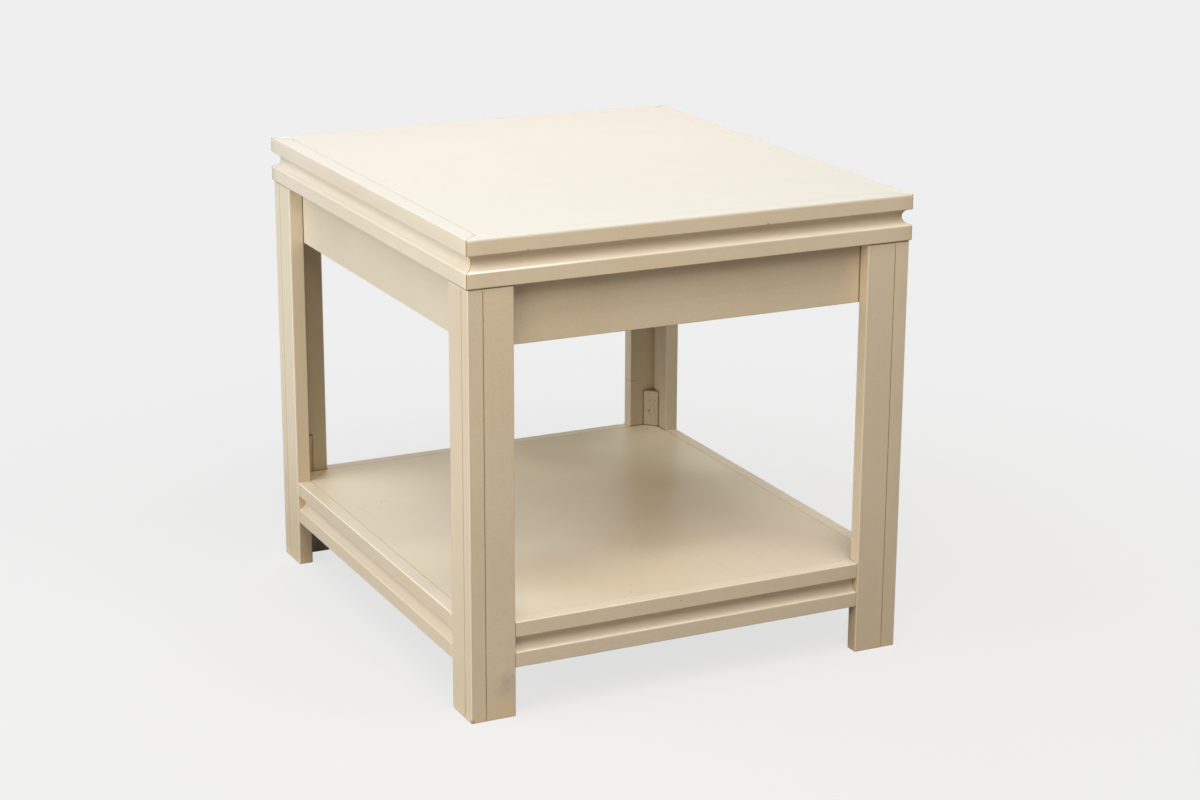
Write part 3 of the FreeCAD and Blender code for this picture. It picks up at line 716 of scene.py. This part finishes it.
class Shape(Tree):
    def __init__(self, name):
        group = bpy.data.node_groups.new(name, "GeometryNodeTree")
        group.is_modifier = True
        super().__init__(group)
        self.entry = group.nodes.new("NodeGroupInput")

    def size(self, name, kind="Float"):
        """A named input of the tree."""
        self.tree.interface.new_socket(name, in_out="INPUT", socket_type=f"NodeSocket{kind}")
        return Value(self, self.entry.outputs[name])

    def done(self, geometry, material):
        real = self.node("GeometryNodeRealizeInstances", inputs={"Geometry": geometry})
        inputs = {"Geometry": real, "Material": material}
        painted = self.node("GeometryNodeSetMaterial", inputs=inputs)
        kind = "NodeSocketGeometry"
        self.tree.interface.new_socket("Geometry", in_out="OUTPUT", socket_type=kind)
        self.node("NodeGroupOutput", inputs={"Geometry": painted})

    def make(self, name, sizes, start=None, bevel=0.0):
        """Runs the tree on a mesh and gives the result as a plain mesh object."""
        piece = add_object(name, start or bpy.data.meshes.new(name))
        modifier = piece.modifiers.new("shape", "NODES")
        modifier.node_group = self.tree
        for item in self.tree.interface.items_tree:
            if item.in_out == "INPUT" and item.name in sizes:
                modifier[item.identifier] = sizes[item.name]
        if bevel:
            easing = piece.modifiers.new("easing", "BEVEL")
            easing.width = bevel
            easing.segments = 2
            easing.limit_method = "ANGLE"
            easing.angle_limit = SHARP_ANGLE
        evaluated = piece.evaluated_get(bpy.context.evaluated_depsgraph_get())
        piece.data = bpy.data.meshes.new_from_object(evaluated)
        piece.modifiers.clear()
        piece.data.materials.clear()
        piece.data.materials.append(sizes["Finish"])
        close_and_smooth(piece.data)
        return piece


def close_and_smooth(mesh):
    """Joins doubled points, turns all faces outwards and shades the mesh smooth up to its edges."""
    shape = bmesh.new()
    shape.from_mesh(mesh)
    bmesh.ops.remove_doubles(shape, verts=shape.verts, dist=DOUBLED)
    bmesh.ops.recalc_face_normals(shape, faces=shape.faces)
    shape.to_mesh(mesh)
    shape.free()
    mesh.shade_smooth()
    mesh.set_sharp_from_angle(angle=SHARP_ANGLE)


def stand_for(piece, node):
    """The piece takes the place of a solid, which is hidden, and hangs from the root body."""
    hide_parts(node)
    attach(piece, "root")


# %% [markdown]
# ## Mouldings
#
# The top and the shelf are edged with the same moulding: a flat band, a half-round cove and
# another flat band. A joiner makes it by running a board past a cutter, so its shape is one
# section, drawn along a straight line. That is what Curve to Mesh does.
#
# The section is a closed curve: its X is the depth behind the outer face and its Y the height above
# the underside. The cove meets the bands in two small round lips. Each lip is an arc that touches
# both the flat face and the cove's circle, so its centre lies one lip radius behind the face, and
# the sum of both radii from the cove's centre. The lower lip was sanded rounder than the upper one,
# which no sandpaper reached well, and so it catches more light. The table's upper outer edge was
# sanded rounder at the front than at the sides.

# %% The moulding's section
COVE_RADIUS = 9.525 * MM
UPPER_LIP_RADIUS = 0.8 * MM
UNDER_EDGE_RADIUS = 1 * MM
FLAT_HOLD = 0.5 * MM
STEPS_PER_ARC = 6
STEPS_IN_COVE = 20


def arc(centre, radius, start, end, steps=STEPS_PER_ARC):
    """Points on an arc, between two directions in degrees."""
    points = []
    for step in range(steps + 1):
        angle = math.radians(start + (end - start) * step / steps)
        points.append((centre[0] + radius * math.cos(angle), centre[1] + radius * math.sin(angle)))
    return points


def lip_place(radius):
    """How far a lip's centre is from the cove's middle, and how far the cove has turned there."""
    rise = math.sqrt((COVE_RADIUS + radius) ** 2 - radius**2)
    return rise, math.degrees(math.atan2(rise, radius))


def moulding_section(thickness, height, edge_radius, lower_lip):
    """The outline of a moulding, from its bottom outer edge up its face and back down."""
    middle = height / 2
    fall, lower_turn = lip_place(lower_lip)
    rise, upper_turn = lip_place(UPPER_LIP_RADIUS)
    outline = arc((UNDER_EDGE_RADIUS, UNDER_EDGE_RADIUS), UNDER_EDGE_RADIUS, 270, 180)
    outline += arc((lower_lip, middle - fall), lower_lip, 180, 180 - lower_turn)
    outline += arc((0.0, middle), COVE_RADIUS, -lower_turn, upper_turn, STEPS_IN_COVE)[1:-1]
    outline += arc((UPPER_LIP_RADIUS, middle + rise), UPPER_LIP_RADIUS, 180 + upper_turn, 180)
    outline += arc((edge_radius, height - edge_radius), edge_radius, 180, 90)
    outline += [(thickness, height), (thickness, 0.0)]
    return hold_flats(outline)


def hold_flats(outline):
    """Adds a point near both ends of each flat, so that the smooth shading stays off the flat."""
    held = []
    for here, following in zip(outline, outline[1:] + outline[:1]):
        held.append(here)
        run = math.dist(here, following)
        if run > 3 * FLAT_HOLD:
            for share in (FLAT_HOLD / run, 1.0 - FLAT_HOLD / run):
                held.append(tuple(a + (b - a) * share for a, b in zip(here, following)))
    return held


def section_curve(name, outline):
    curve = bpy.data.curves.new(name, "CURVE")
    spline = curve.splines.new("POLY")
    spline.points.add(len(outline) - 1)
    for point, (depth, height) in zip(spline.points, outline):
        point.co = (depth, height, 0.0, 1.0)
    spline.use_cyclic_u = True
    return bpy.data.objects.new(name, curve)


# %% [markdown]
# The tree draws the section along X. Curve to Mesh lays the section's X along -Y and its Y along
# -Z, so the next node turns both over. The same node cuts the mitres: a point's X shrinks with its
# depth, so that the ends slant at 45 degrees. It also gives the faces a waviness of a tenth of a
# millimetre, as sanded and sprayed wood has, which breaks up the highlights along the edges.

# %% The moulding's tree
RINGS_PER_METRE = 60
WAVINESS = 0.12 * MM
WAVES_PER_METRE = 14.0


def moulding_tree():
    shape = Shape("moulding")
    section = shape.size("Section", "Object")
    names = ("Length", "Mitre", "Waviness", "Seed", "Turn")
    length, mitre, waviness, seed, turn = [shape.size(name) for name in names]
    place = shape.size("Place", "Vector")
    material = shape.size("Finish", "Material")

    half = length / 2
    ends = {"Start": shape.join(-half, 0.0, 0.0), "End": shape.join(half, 0.0, 0.0)}
    line = shape.node("GeometryNodeCurvePrimitiveLine", inputs=ends)
    inputs = {"Curve": line, "Count": length * RINGS_PER_METRE}
    path = shape.node("GeometryNodeResampleCurve", inputs=inputs)
    drawn = shape.node("GeometryNodeObjectInfo", inputs={"Object": section}, output="Geometry")
    inputs = {"Curve": path, "Profile Curve": drawn, "Fill Caps": True}
    board = shape.node("GeometryNodeCurveToMesh", inputs=inputs)

    point = shape.node("GeometryNodeInputPosition")
    x, y, z = shape.split(point)
    squeeze = 1.0 + mitre * y / half
    inputs = {"Vector": point, "W": seed, "Scale": WAVES_PER_METRE, "Detail": 1.0}
    noise = shape.node("ShaderNodeTexNoise", {"noise_dimensions": "4D"}, inputs, output="Color")
    wave_y, wave_z = [(wave - 0.5) * waviness for wave in shape.split(noise)[1:]]
    moved = shape.join(x * squeeze, wave_y - y, wave_z - z)
    board = shape.node("GeometryNodeSetPosition", inputs={"Geometry": board, "Position": moved})
    inputs = {"Geometry": board, "Translation": place, "Rotation": shape.join(0.0, 0.0, turn)}
    board = shape.node("GeometryNodeTransform", inputs=inputs)
    shape.done(board, material)
    return shape


# %% [markdown]
# A moulding's finish has its grain along the board, and its lower lips carry a painted highlight.
# Where it ends against another board there is a thin brown line: on the top a crack across the mitre,
# and on the shelf a line of painted shade in the gap beside the leg. The upper part of the cove
# carries painted shade, and its lower part a greyer painted sheen. On the front, the painted
# highlight on the lower lips is nearly white from the left end on. On the left the lips have yellowed
# instead, and so has the whole outer side of the shelf's left moulding, while that of the table's top
# got paler towards the back, under a rougher edge with painted shade on its rounding. The shelf's
# mouldings also get a painted highlight along their edges, and share the shelf's painted light and
# shade.

# %% The mouldings' finish
COVE_SHEEN_GREY = (0.72, 0.69, 0.63)
YELLOW_LIP = (0.80, 0.69, 0.48)
EDGE_SHADE_TAN = (0.61, 0.54, 0.415)
HIGHLIGHT_WHITE = (0.97, 0.96, 0.93)
TOP_EDGE_HIGHLIGHT, SHELF_EDGE_HIGHLIGHT = 0.0, 0.8
TOP_LIP_HIGHLIGHT, SHELF_LIP_HIGHLIGHT = 0.15, 0.35
LEFT_SIDE_PALER = 0.4
LEFT_EDGE_SHADE = 0.8
END_CRACK_AND_SHADE = 0.95
COVE_SHADE = each(SIDES, 0.35, 0.35, 0.35, 0.14)
SHELF_SIDE_YELLOWED = each(SIDES, 0.0, 0.1, 0.1, 0.62)
LIP_HIGHLIGHTS = {
    "top_edge_front": (-0.20, -0.12, 0.85),
    "shelf_edge_front": (-0.05, 0.12, 0.3),
}


def age_top_moulding(finish, side, outside):
    if side == "left":
        finish.stain(finish.axes[Y].ramp(0.05, 0.3, 0.25, 1.0), LEFT_SIDE_PALER, PALE_CREAM)
        wipe_top(finish, 0.5 * MM, 0.0)
        # Painted shade on the left rounding keeps a highlight off it.
        rounding = finish.near_plane(Z, TABLE_TOP - 0.9 * MM, 1 * MM, 0.3 * MM) * outside
        finish.stain(rounding, LEFT_EDGE_SHADE, EDGE_SHADE_TAN)
    else:
        wipe_top(finish)


def age_shelf_moulding(finish, side, lip):
    finish.stain(1.0, 0.15, PALE_CREAM)
    below = finish.axes[Z].fade(SHELF_TOP - 1.5 * MM, SHELF_TOP - 0.5 * MM)
    finish.stain(below * (1.0 - lip * 0.6), SHELF_SIDE_YELLOWED[side], YELLOWED_AND_SHADED)
    warm_shelf(finish, 0.5)


def finish_moulding(node, side, lower_lip, cracks, mitred):
    low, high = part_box(node)
    middle = (low[Z] + high[Z]) / 2
    axis = along_axis(side)
    joint = PANEL_JOINT[1 - axis]
    finish = Lacquer(node, axis)
    height = finish.axes[Z]
    outside = abs(finish.axes[1 - axis]).ramp(joint + 2 * MM, joint + 4 * MM)
    lip_height = middle - lip_place(lower_lip)[0] + lower_lip / 2
    lip = finish.near_plane(Z, lip_height, 1.2 * MM, 0.8 * MM) * outside
    if mitred:
        age_top_moulding(finish, side, outside)
    else:
        age_shelf_moulding(finish, side, lip)
    # A painted highlight along the free edges of the shelf's mouldings; the top's get none.
    finish.highlight_edges(TOP_EDGE_HIGHLIGHT if mitred else SHELF_EDGE_HIGHLIGHT, [(1 - axis, joint)])
    dulled = height.ramp(TABLE_TOP - 4 * MM, TABLE_TOP - 3 * MM)
    dulled = dulled * height.fade(TABLE_TOP - 0.5 * MM, TABLE_TOP - 0.1 * MM)
    finish.gloss = finish.gloss + dulled * 0.35
    # A greyer painted sheen on the lower part of the cove.
    ledge = height.ramp(lip_height, lip_height + 1 * MM) * outside
    ledge = ledge * height.fade(middle - 5 * MM, middle + 1 * MM)
    finish.stain(ledge, 0.5 if side == "front" else 0.25, COVE_SHEEN_GREY)
    # On the left the lower lip is yellowed; on the other sides it gets a painted highlight.
    if side == "left":
        finish.stain(lip, 0.25, YELLOW_LIP)
    else:
        finish.paint_highlight(lip, TOP_LIP_HIGHLIGHT if mitred else SHELF_LIP_HIGHLIGHT)
    # A nearly white painted highlight on the front lower lips, from the left end on.
    if node in LIP_HIGHLIGHTS:
        start, end, strength = LIP_HIGHLIGHTS[node]
        finish.stain(lip * finish.axes[X].fade(start, end), strength, HIGHLIGHT_WHITE)
    # Painted shade in the upper part of the cove, under the upper lip.
    upper_lip = middle + lip_place(UPPER_LIP_RADIUS)[0]
    below_lip = height.fade(upper_lip - 0.2 * MM, upper_lip + 0.2 * MM)
    in_cove_shade = height.ramp(middle - 7 * MM, upper_lip) * below_lip * outside
    finish.stain(in_cove_shade, COVE_SHADE[side] * (1.0 if mitred else 1.4), OVERHANG_SHADE)
    crack_beside_panel(finish, cracks, high[Z], [side])
    # A brown crack along the mitre on the top; on the shelf, a line of painted shade in the gap
    # beside the leg.
    if mitred:
        x, y = abs(finish.axes[X]), abs(finish.axes[Y])
        from_end = abs(x - y - (PANEL_JOINT[X] - PANEL_JOINT[Y]))
    else:
        from_end = BETWEEN_LEGS[axis] - abs(finish.axes[axis])
    below_top = height.ramp(TABLE_TOP - 1 * MM, TABLE_TOP - 0.2 * MM, 1.0, 0.4)
    finish.stain(from_end.fade(0.4 * MM, 1 * MM) * below_top, END_CRACK_AND_SHADE, CRACK_AND_SHADE_BROWN)
    return finish.done()


# %% Make the eight mouldings
EASING = 0.25 * MM
TOP_EDGE_RADIUS = each(SIDES, 3 * MM, 1.8 * MM, 1.8 * MM, 1.2 * MM)
TOP_LIP_RADIUS = 2 * MM
SHELF_EDGE_RADIUS = dict.fromkeys(SIDES, 1.4 * MM)
SHELF_LIP_RADIUS = 1.2 * MM


def make_moulding(tree, name, edge_radius, lower_lip, cracks, mitred):
    """The four mouldings of the top or the shelf."""
    for quarter, side in enumerate(SIDES):
        node = f"{name}_edge_{side}"
        low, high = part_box(node)
        axis = along_axis(side)
        thickness, height = high[1 - axis] - low[1 - axis], high[Z] - low[Z]
        outline = moulding_section(thickness, height, edge_radius[side], lower_lip)
        place = (low + high) / 2
        place[1 - axis] = high[1 - axis] if outward(side) > 0 else low[1 - axis]
        place[Z] = low[Z]
        sizes = {
            "Section": section_curve(f"{node}_section", outline),
            "Length": high[axis] - low[axis],
            "Mitre": 1.0 if mitred else 0.0,
            "Waviness": WAVINESS,
            "Seed": float(NUMBERS[node]),
            "Turn": math.radians(90 * quarter),
            "Place": place,
            "Finish": finish_moulding(node, side, lower_lip, cracks, mitred),
        }
        piece = tree.make(f"{name}_moulding_{side}", sizes, bevel=EASING)
        stand_for(piece, node)
    print(f"{name}: four mouldings of {len(piece.data.polygons)} faces, {len(outline)} points round")


moulding = moulding_tree()
make_moulding(moulding, "top", TOP_EDGE_RADIUS, TOP_LIP_RADIUS, TOP_CRACKS, mitred=True)
make_moulding(moulding, "shelf", SHELF_EDGE_RADIUS, SHELF_LIP_RADIUS, SHELF_CRACKS, mitred=False)

# %% [markdown]
# ## Screws and nails
#
# Forty fasteners hold the table together. Only their heads show: those of the leg screws stand on
# the inner face of the apron, and the others lie sunk in their holes. Each is turned another way, as
# hand-driven screws are. Each kind is turned once, as on a lathe: an outline of radius and height is
# spun round Z. Geometry Nodes then cuts the screw's slot, winds its thread, and sets a copy at every
# place that the frame gives, with a random spin.
#
# The places are read from the solids. A group's mesh falls apart into one island per fastener. Its
# longest side is its axis, and the points that lie furthest from that axis belong to its head.

# %% Where the fasteners are
def islands(shape):
    """The groups of points of a mesh that hang together."""
    left = set(shape.verts)
    while left:
        island, border = [], [left.pop()]
        while border:
            vert = border.pop()
            island.append(vert.co.copy())
            for edge in vert.link_edges:
                other = edge.other_vert(vert)
                if other in left:
                    left.remove(other)
                    border.append(other)
        yield island


def seats_of(node):
    """The middle of each fastener's head, at its top, and the way that the head faces."""
    shape = bmesh.new()
    shape.from_mesh(nodes[node].data)
    bmesh.ops.remove_doubles(shape, verts=shape.verts, dist=DOUBLED)
    seats = []
    for points in islands(shape):
        low, high = [Vector([pick(row) for row in zip(*points)]) for pick in (min, max)]
        axis = max(range(3), key=lambda number: high[number] - low[number])
        middle = (low + high) / 2
        across = [number for number in range(3) if number != axis]
        widest = max(points, key=lambda point: sum((point[a] - middle[a]) ** 2 for a in across))
        facing = Vector((0.0, 0.0, 0.0))
        facing[axis] = 1.0 if widest[axis] > middle[axis] else -1.0
        head = middle + facing * (high[axis] - low[axis]) / 2
        seats.append((head, facing))
    shape.free()
    return sorted(seats, key=lambda seat: tuple(round(value, 4) for value in seat[0]))


def seat_mesh(name, seats):
    """A mesh with a point for each seat, which carries the way the head faces."""
    mesh = bpy.data.meshes.new(name)
    mesh.from_pydata([seat[0] for seat in seats], [], [])
    facing = mesh.attributes.new("facing", "FLOAT_VECTOR", "POINT")
    for item, seat in zip(facing.data, seats):
        item.vector = seat[1]
    return mesh


# %% [markdown]
# The screws are slotted wood screws with a domed head: a smooth shank, then a thinner core with the
# thread, then the point. The nails have a small flat head and a straight shank. All sizes are
# those of the solids.

# %% Turn the fasteners
TURNED_SIDES = 20
SCREW_LENGTH = 32.6 * MM
SCREW_HEAD_RADIUS = 4 * MM
SCREW_HEAD_HEIGHT = 2.6 * MM
SCREW_SHANK_RADIUS = 2 * MM
SCREW_CORE_RADIUS = 1.45 * MM
SCREW_POINT = 6 * MM
THREAD_START = 12 * MM
THREAD_PITCH = 1.8 * MM
SLOT_WIDTH = 1 * MM
SLOT_DEPTH = 1.2 * MM
NAIL_HEAD_RADIUS = 1.2 * MM
NAIL_HEAD_HEIGHT = 0.8 * MM
NAIL_SHANK_RADIUS = 0.8 * MM
NAIL_POINT = 2.5 * MM


def turned(name, outline):
    """Spins an outline of radius and height round Z. It starts and ends on the axis."""
    shape = bmesh.new()
    points = [shape.verts.new((radius, 0.0, height)) for radius, height in outline]
    edges = [shape.edges.new(pair) for pair in zip(points, points[1:])]
    bmesh.ops.spin(
        shape,
        geom=points + edges,
        cent=(0.0, 0.0, 0.0),
        axis=(0.0, 0.0, 1.0),
        angle=math.tau,
        steps=TURNED_SIDES,
        use_merge=True,
    )
    mesh = bpy.data.meshes.new(name)
    shape.to_mesh(mesh)
    shape.free()
    close_and_smooth(mesh)
    return bpy.data.objects.new(name, mesh)


def turned_screw():
    dome_side = 1.2 * MM
    flat = SCREW_HEAD_RADIUS - dome_side
    outline = [(0.0, 0.0)]
    for radius, height in arc((0.0, 0.0), 1.0, 90, 0)[1:]:
        outline.append((flat * min(1.0, radius * 1.6) + dome_side * radius, dome_side * (height - 1)))
    outline += [
        (SCREW_HEAD_RADIUS, -SCREW_HEAD_HEIGHT),
        (SCREW_SHANK_RADIUS, -SCREW_HEAD_HEIGHT),
        (SCREW_SHANK_RADIUS, -THREAD_START),
        (SCREW_CORE_RADIUS, -THREAD_START - 0.6 * MM),
        (SCREW_CORE_RADIUS, SCREW_POINT - SCREW_LENGTH),
        (0.0, -SCREW_LENGTH),
    ]
    return turned("turned_screw", outline)


def turned_nail(name, length):
    easing = 0.2 * MM
    outline = [
        (0.0, 0.0),
        (NAIL_HEAD_RADIUS - easing, 0.0),
        (NAIL_HEAD_RADIUS, -easing),
        (NAIL_HEAD_RADIUS, -NAIL_HEAD_HEIGHT),
        (NAIL_SHANK_RADIUS, -NAIL_HEAD_HEIGHT),
        (NAIL_SHANK_RADIUS, NAIL_POINT - length),
        (0.0, -length),
    ]
    return turned(name, outline)


# %% [markdown]
# The thread is a spiral curve with a small triangle drawn along it, wound round the screw's core.
# The slot is a box taken away from the head. Then a copy goes on every seat: Align Rotation turns
# its Z to the way the head faces, and a random spin about that Z comes first.

# %% The fasteners' tree
def threaded_screw(shape, core):
    """The turned screw with its slot and its thread."""
    slot = shape.join(3 * SCREW_HEAD_RADIUS, shape.size("Slot Width"), 2 * SLOT_DEPTH)
    cutter = shape.node("GeometryNodeMeshCube", inputs={"Size": slot})
    settings = {"operation": "DIFFERENCE", "solver": "EXACT"}
    core = shape.node("GeometryNodeMeshBoolean", settings, {0: core, 1: cutter})
    height = SCREW_LENGTH - SCREW_POINT - THREAD_START - 1.5 * MM
    inputs = {
        "Resolution": 14,
        "Rotations": height / shape.size("Thread Pitch"),
        "Start Radius": SCREW_CORE_RADIUS,
        "End Radius": SCREW_CORE_RADIUS,
        "Height": height,
    }
    spiral = shape.node("GeometryNodeCurveSpiral", inputs=inputs)
    inputs = {"Resolution": 3, "Radius": SCREW_SHANK_RADIUS - SCREW_CORE_RADIUS}
    ridge = shape.node("GeometryNodeCurvePrimitiveCircle", inputs=inputs)
    inputs = {"Curve": spiral, "Profile Curve": ridge, "Fill Caps": True}
    thread = shape.node("GeometryNodeCurveToMesh", inputs=inputs)
    inputs = {"Geometry": thread, "Translation": (0.0, 0.0, SCREW_POINT - SCREW_LENGTH)}
    thread = shape.node("GeometryNodeTransform", inputs=inputs)
    both = shape.tree.nodes.new("GeometryNodeJoinGeometry")
    for part in (thread, core):
        shape.tree.links.new(part.socket, both.inputs["Geometry"])
    return Value(shape, both.outputs["Geometry"])


def fastener_tree(name, threaded):
    shape = Shape(name)
    seats = shape.size("Seats", "Geometry")
    pattern = shape.size("Turned Piece", "Object")
    seed = shape.size("Seed", "Int")
    material = shape.size("Finish", "Material")
    one = shape.node("GeometryNodeObjectInfo", inputs={"Object": pattern}, output="Geometry")
    if threaded:
        one = threaded_screw(shape, one)
    settings = {"data_type": "FLOAT_VECTOR"}
    facing = shape.node("GeometryNodeInputNamedAttribute", settings, {"Name": "facing"})
    inputs = {2: 0.0, 3: math.tau, "Seed": seed}
    spin = shape.node("FunctionNodeRandomValue", {"data_type": "FLOAT"}, inputs, output=1)
    inputs = {"Rotation": shape.join(0.0, 0.0, spin), "Vector": facing}
    aim = shape.node("FunctionNodeAlignRotationToVector", {"axis": "Z"}, inputs)
    inputs = {"Points": seats, "Instance": one, "Rotation": aim}
    copies = shape.node("GeometryNodeInstanceOnPoints", inputs=inputs)
    shape.done(copies, material)
    return shape


# %% [markdown]
# The steel has dulled. It is grey metal with fine scratches from the driver, darker in patches, and
# brown where damp got to it.

# %% Steel
STEEL = (0.60, 0.58, 0.55)
DULL_STEEL = (0.34, 0.32, 0.30)
RUST = (0.26, 0.12, 0.05)


def steel(name, number, rust):
    finish = Finish(name, number)
    dull = finish.noise(160.0, 4.0, 0.6)
    rusty = finish.noise(300.0, 3.0, 0.65).ramp(0.62 - rust, 0.72 - rust)
    colour = finish.blend(dull.ramp(0.35, 0.65), STEEL, DULL_STEEL)
    colour = finish.blend(rusty, colour, RUST)
    scratches = finish.noise((4000.0, 4000.0, 300.0), 2.0, 0.5)
    return finish.done(
        {
            "Base Color": colour,
            "Metallic": 1.0 - rusty * 0.9,
            "Roughness": dull.ramp(0.3, 0.7, 0.32, 0.5).high(rusty * 0.85),
            "Normal": finish.bump(scratches, 0.03 * MM),
        }
    )


# %% Drive the screws and the nails
SCREWS = ("leg_screws", "apron_block_screws", "top_screws")
NAILS = {
    "upper_block_brads": 20.8 * MM,
    "lower_block_nails": 35.8 * MM,
    "shelf_nails": 35.8 * MM,
}
SCREW_RUST, NAIL_RUST = 0.05, 0.12
screw_tree = fastener_tree("screws", threaded=True)
nail_tree = fastener_tree("nails", threaded=False)
screw = turned_screw()


def drive(tree, node, pattern, rust):
    """Puts a group of fasteners in place of its solids."""
    seats = seats_of(node)
    sizes = {
        "Turned Piece": pattern,
        "Seed": NUMBERS[node],
        "Finish": steel(f"steel_{node}", NUMBERS[node], rust),
        "Slot Width": SLOT_WIDTH,
        "Thread Pitch": THREAD_PITCH,
    }
    piece = tree.make(f"{node}_driven", sizes, start=seat_mesh(node, seats))
    stand_for(piece, node)
    print(f"{node}: {len(seats)} of {len(piece.data.polygons) // len(seats)} faces each")


for node in SCREWS:
    drive(screw_tree, node, screw, SCREW_RUST)
for node, length in NAILS.items():
    drive(nail_tree, node, turned_nail(f"turned_{node}", length), NAIL_RUST)

# %% [markdown]
# ## Floor and background
#
# The floor is plain and pale. The camera sees it and the background at one level, so that no horizon
# shows, but near the table it also sees part of the floor's real shading, which holds the table's
# soft shadow. Glossy surfaces see the background at the same pale level, and the floor's real
# shading.

# %% Floor and background
BACKDROP = 0.863
AMBIENT = (0.021, 0.017, 0.012)
FLOOR_REACH = 6.0
FLOOR_PALENESS = 0.32
FLOOR_UNSHADED = 0.345
SHADOW_SHARE = 0.4
SHADOW_START = 0.5
SHADOW_END = 1.3


def grey(level):
    return (level, level, level, 1.0)


def make_floor():
    floor = add_object("floor", bpy.data.meshes.new("floor"))
    shape = bmesh.new()
    bmesh.ops.create_grid(shape, x_segments=1, y_segments=1, size=FLOOR_REACH)
    shape.to_mesh(floor.data)
    shape.free()
    finish = Finish("floor")
    camera_ray = finish.node("ShaderNodeLightPath", output="Is Camera Ray")
    away = finish.vector("LENGTH", finish.place, output=1)
    share = away.ramp(SHADOW_START, SHADOW_END, SHADOW_SHARE, 0.0)
    level = (BACKDROP - share * FLOOR_UNSHADED) / (1.0 - share)
    plain = finish.node("ShaderNodeEmission", inputs={"Color": level})
    shaded = finish.node("ShaderNodeBsdfDiffuse", inputs={"Color": grey(FLOOR_PALENESS)})
    hidden = camera_ray * (1.0 - share)
    surface = finish.node("ShaderNodeMixShader", inputs={0: hidden, 1: shaded, 2: plain})
    finish.node("ShaderNodeOutputMaterial", inputs={"Surface": surface})
    floor.data.materials.append(finish.material)


def make_background():
    world = bpy.data.worlds.new("background")
    world.use_nodes = True
    bpy.context.scene.world = world
    tree = Tree(world.node_tree)
    camera_ray = tree.node("ShaderNodeLightPath", output="Is Camera Ray")
    glossy_ray = tree.node("ShaderNodeLightPath", output="Is Glossy Ray")
    seen = camera_ray.high(glossy_ray)
    dark = tree.node("ShaderNodeBackground", inputs={"Color": (*AMBIENT, 1.0)})
    plain = tree.node("ShaderNodeBackground", inputs={"Color": grey(BACKDROP)})
    surface = tree.node("ShaderNodeMixShader", inputs={0: seen, 1: dark, 2: plain})
    tree.node("ShaderNodeOutputWorld", inputs={"Surface": surface})


make_floor()
make_background()
print("floor of", 2 * FLOOR_REACH, "m")

# %% [markdown]
# ## Lamps
#
# Seven lamps stand round the table, as in a small studio. Four hang overhead and light the top
# most. A broad one at the left makes the left side the palest, and warm, weaker ones at the front
# left and at the right fill the rest. No lamp faces the front squarely, which keeps it darker and
# warmer than the left side. All the lamps are broad, so no shadow is sharp.

# %% Lamps
AIM = Vector((0.0, 0.0, 0.35))
LAMPS = {
    "overhead_left": ((-1.5, 0.2, 2.5), 1.8, (20.6, 21.9, 23.6)),
    "overhead_front": ((-0.6, -1.8, 2.5), 1.8, (40.7, 36.1, 30.8)),
    "overhead_back": ((0.2, 1.8, 2.5), 1.8, (13.1, 13.6, 14.4)),
    "left": ((-3.0, 0.0, 1.0), 1.6, (39.4, 42.0, 45.3)),
    "front_left": ((-2.6, -1.8, 1.4), 1.4, (20.0, 16.0, 11.2)),
    "right": ((3.0, 0.0, 1.4), 1.6, (16.5, 13.2, 9.2)),
    "key": ((0.4, -0.8, 2.3), 0.8, (16.9, 16.7, 16.6)),
}


def make_lamp(name, place, size, watts):
    """A round lamp. The watts are those of its red, green and blue light."""
    lamp = add_object(name, bpy.data.lights.new(name, "AREA"))
    lamp.data.shape = "DISK"
    lamp.data.size = size
    lamp.data.energy = max(watts)
    lamp.data.color = [value / max(watts) for value in watts]
    lamp.location = place
    lamp.rotation_mode = "QUATERNION"
    lamp.rotation_quaternion = (AIM - Vector(place)).to_track_quat("-Z", "Y")


for name, facts in LAMPS.items():
    make_lamp(name, *facts)
bpy.context.scene.view_settings.view_transform = "Standard"
print(len(LAMPS), "lamps")
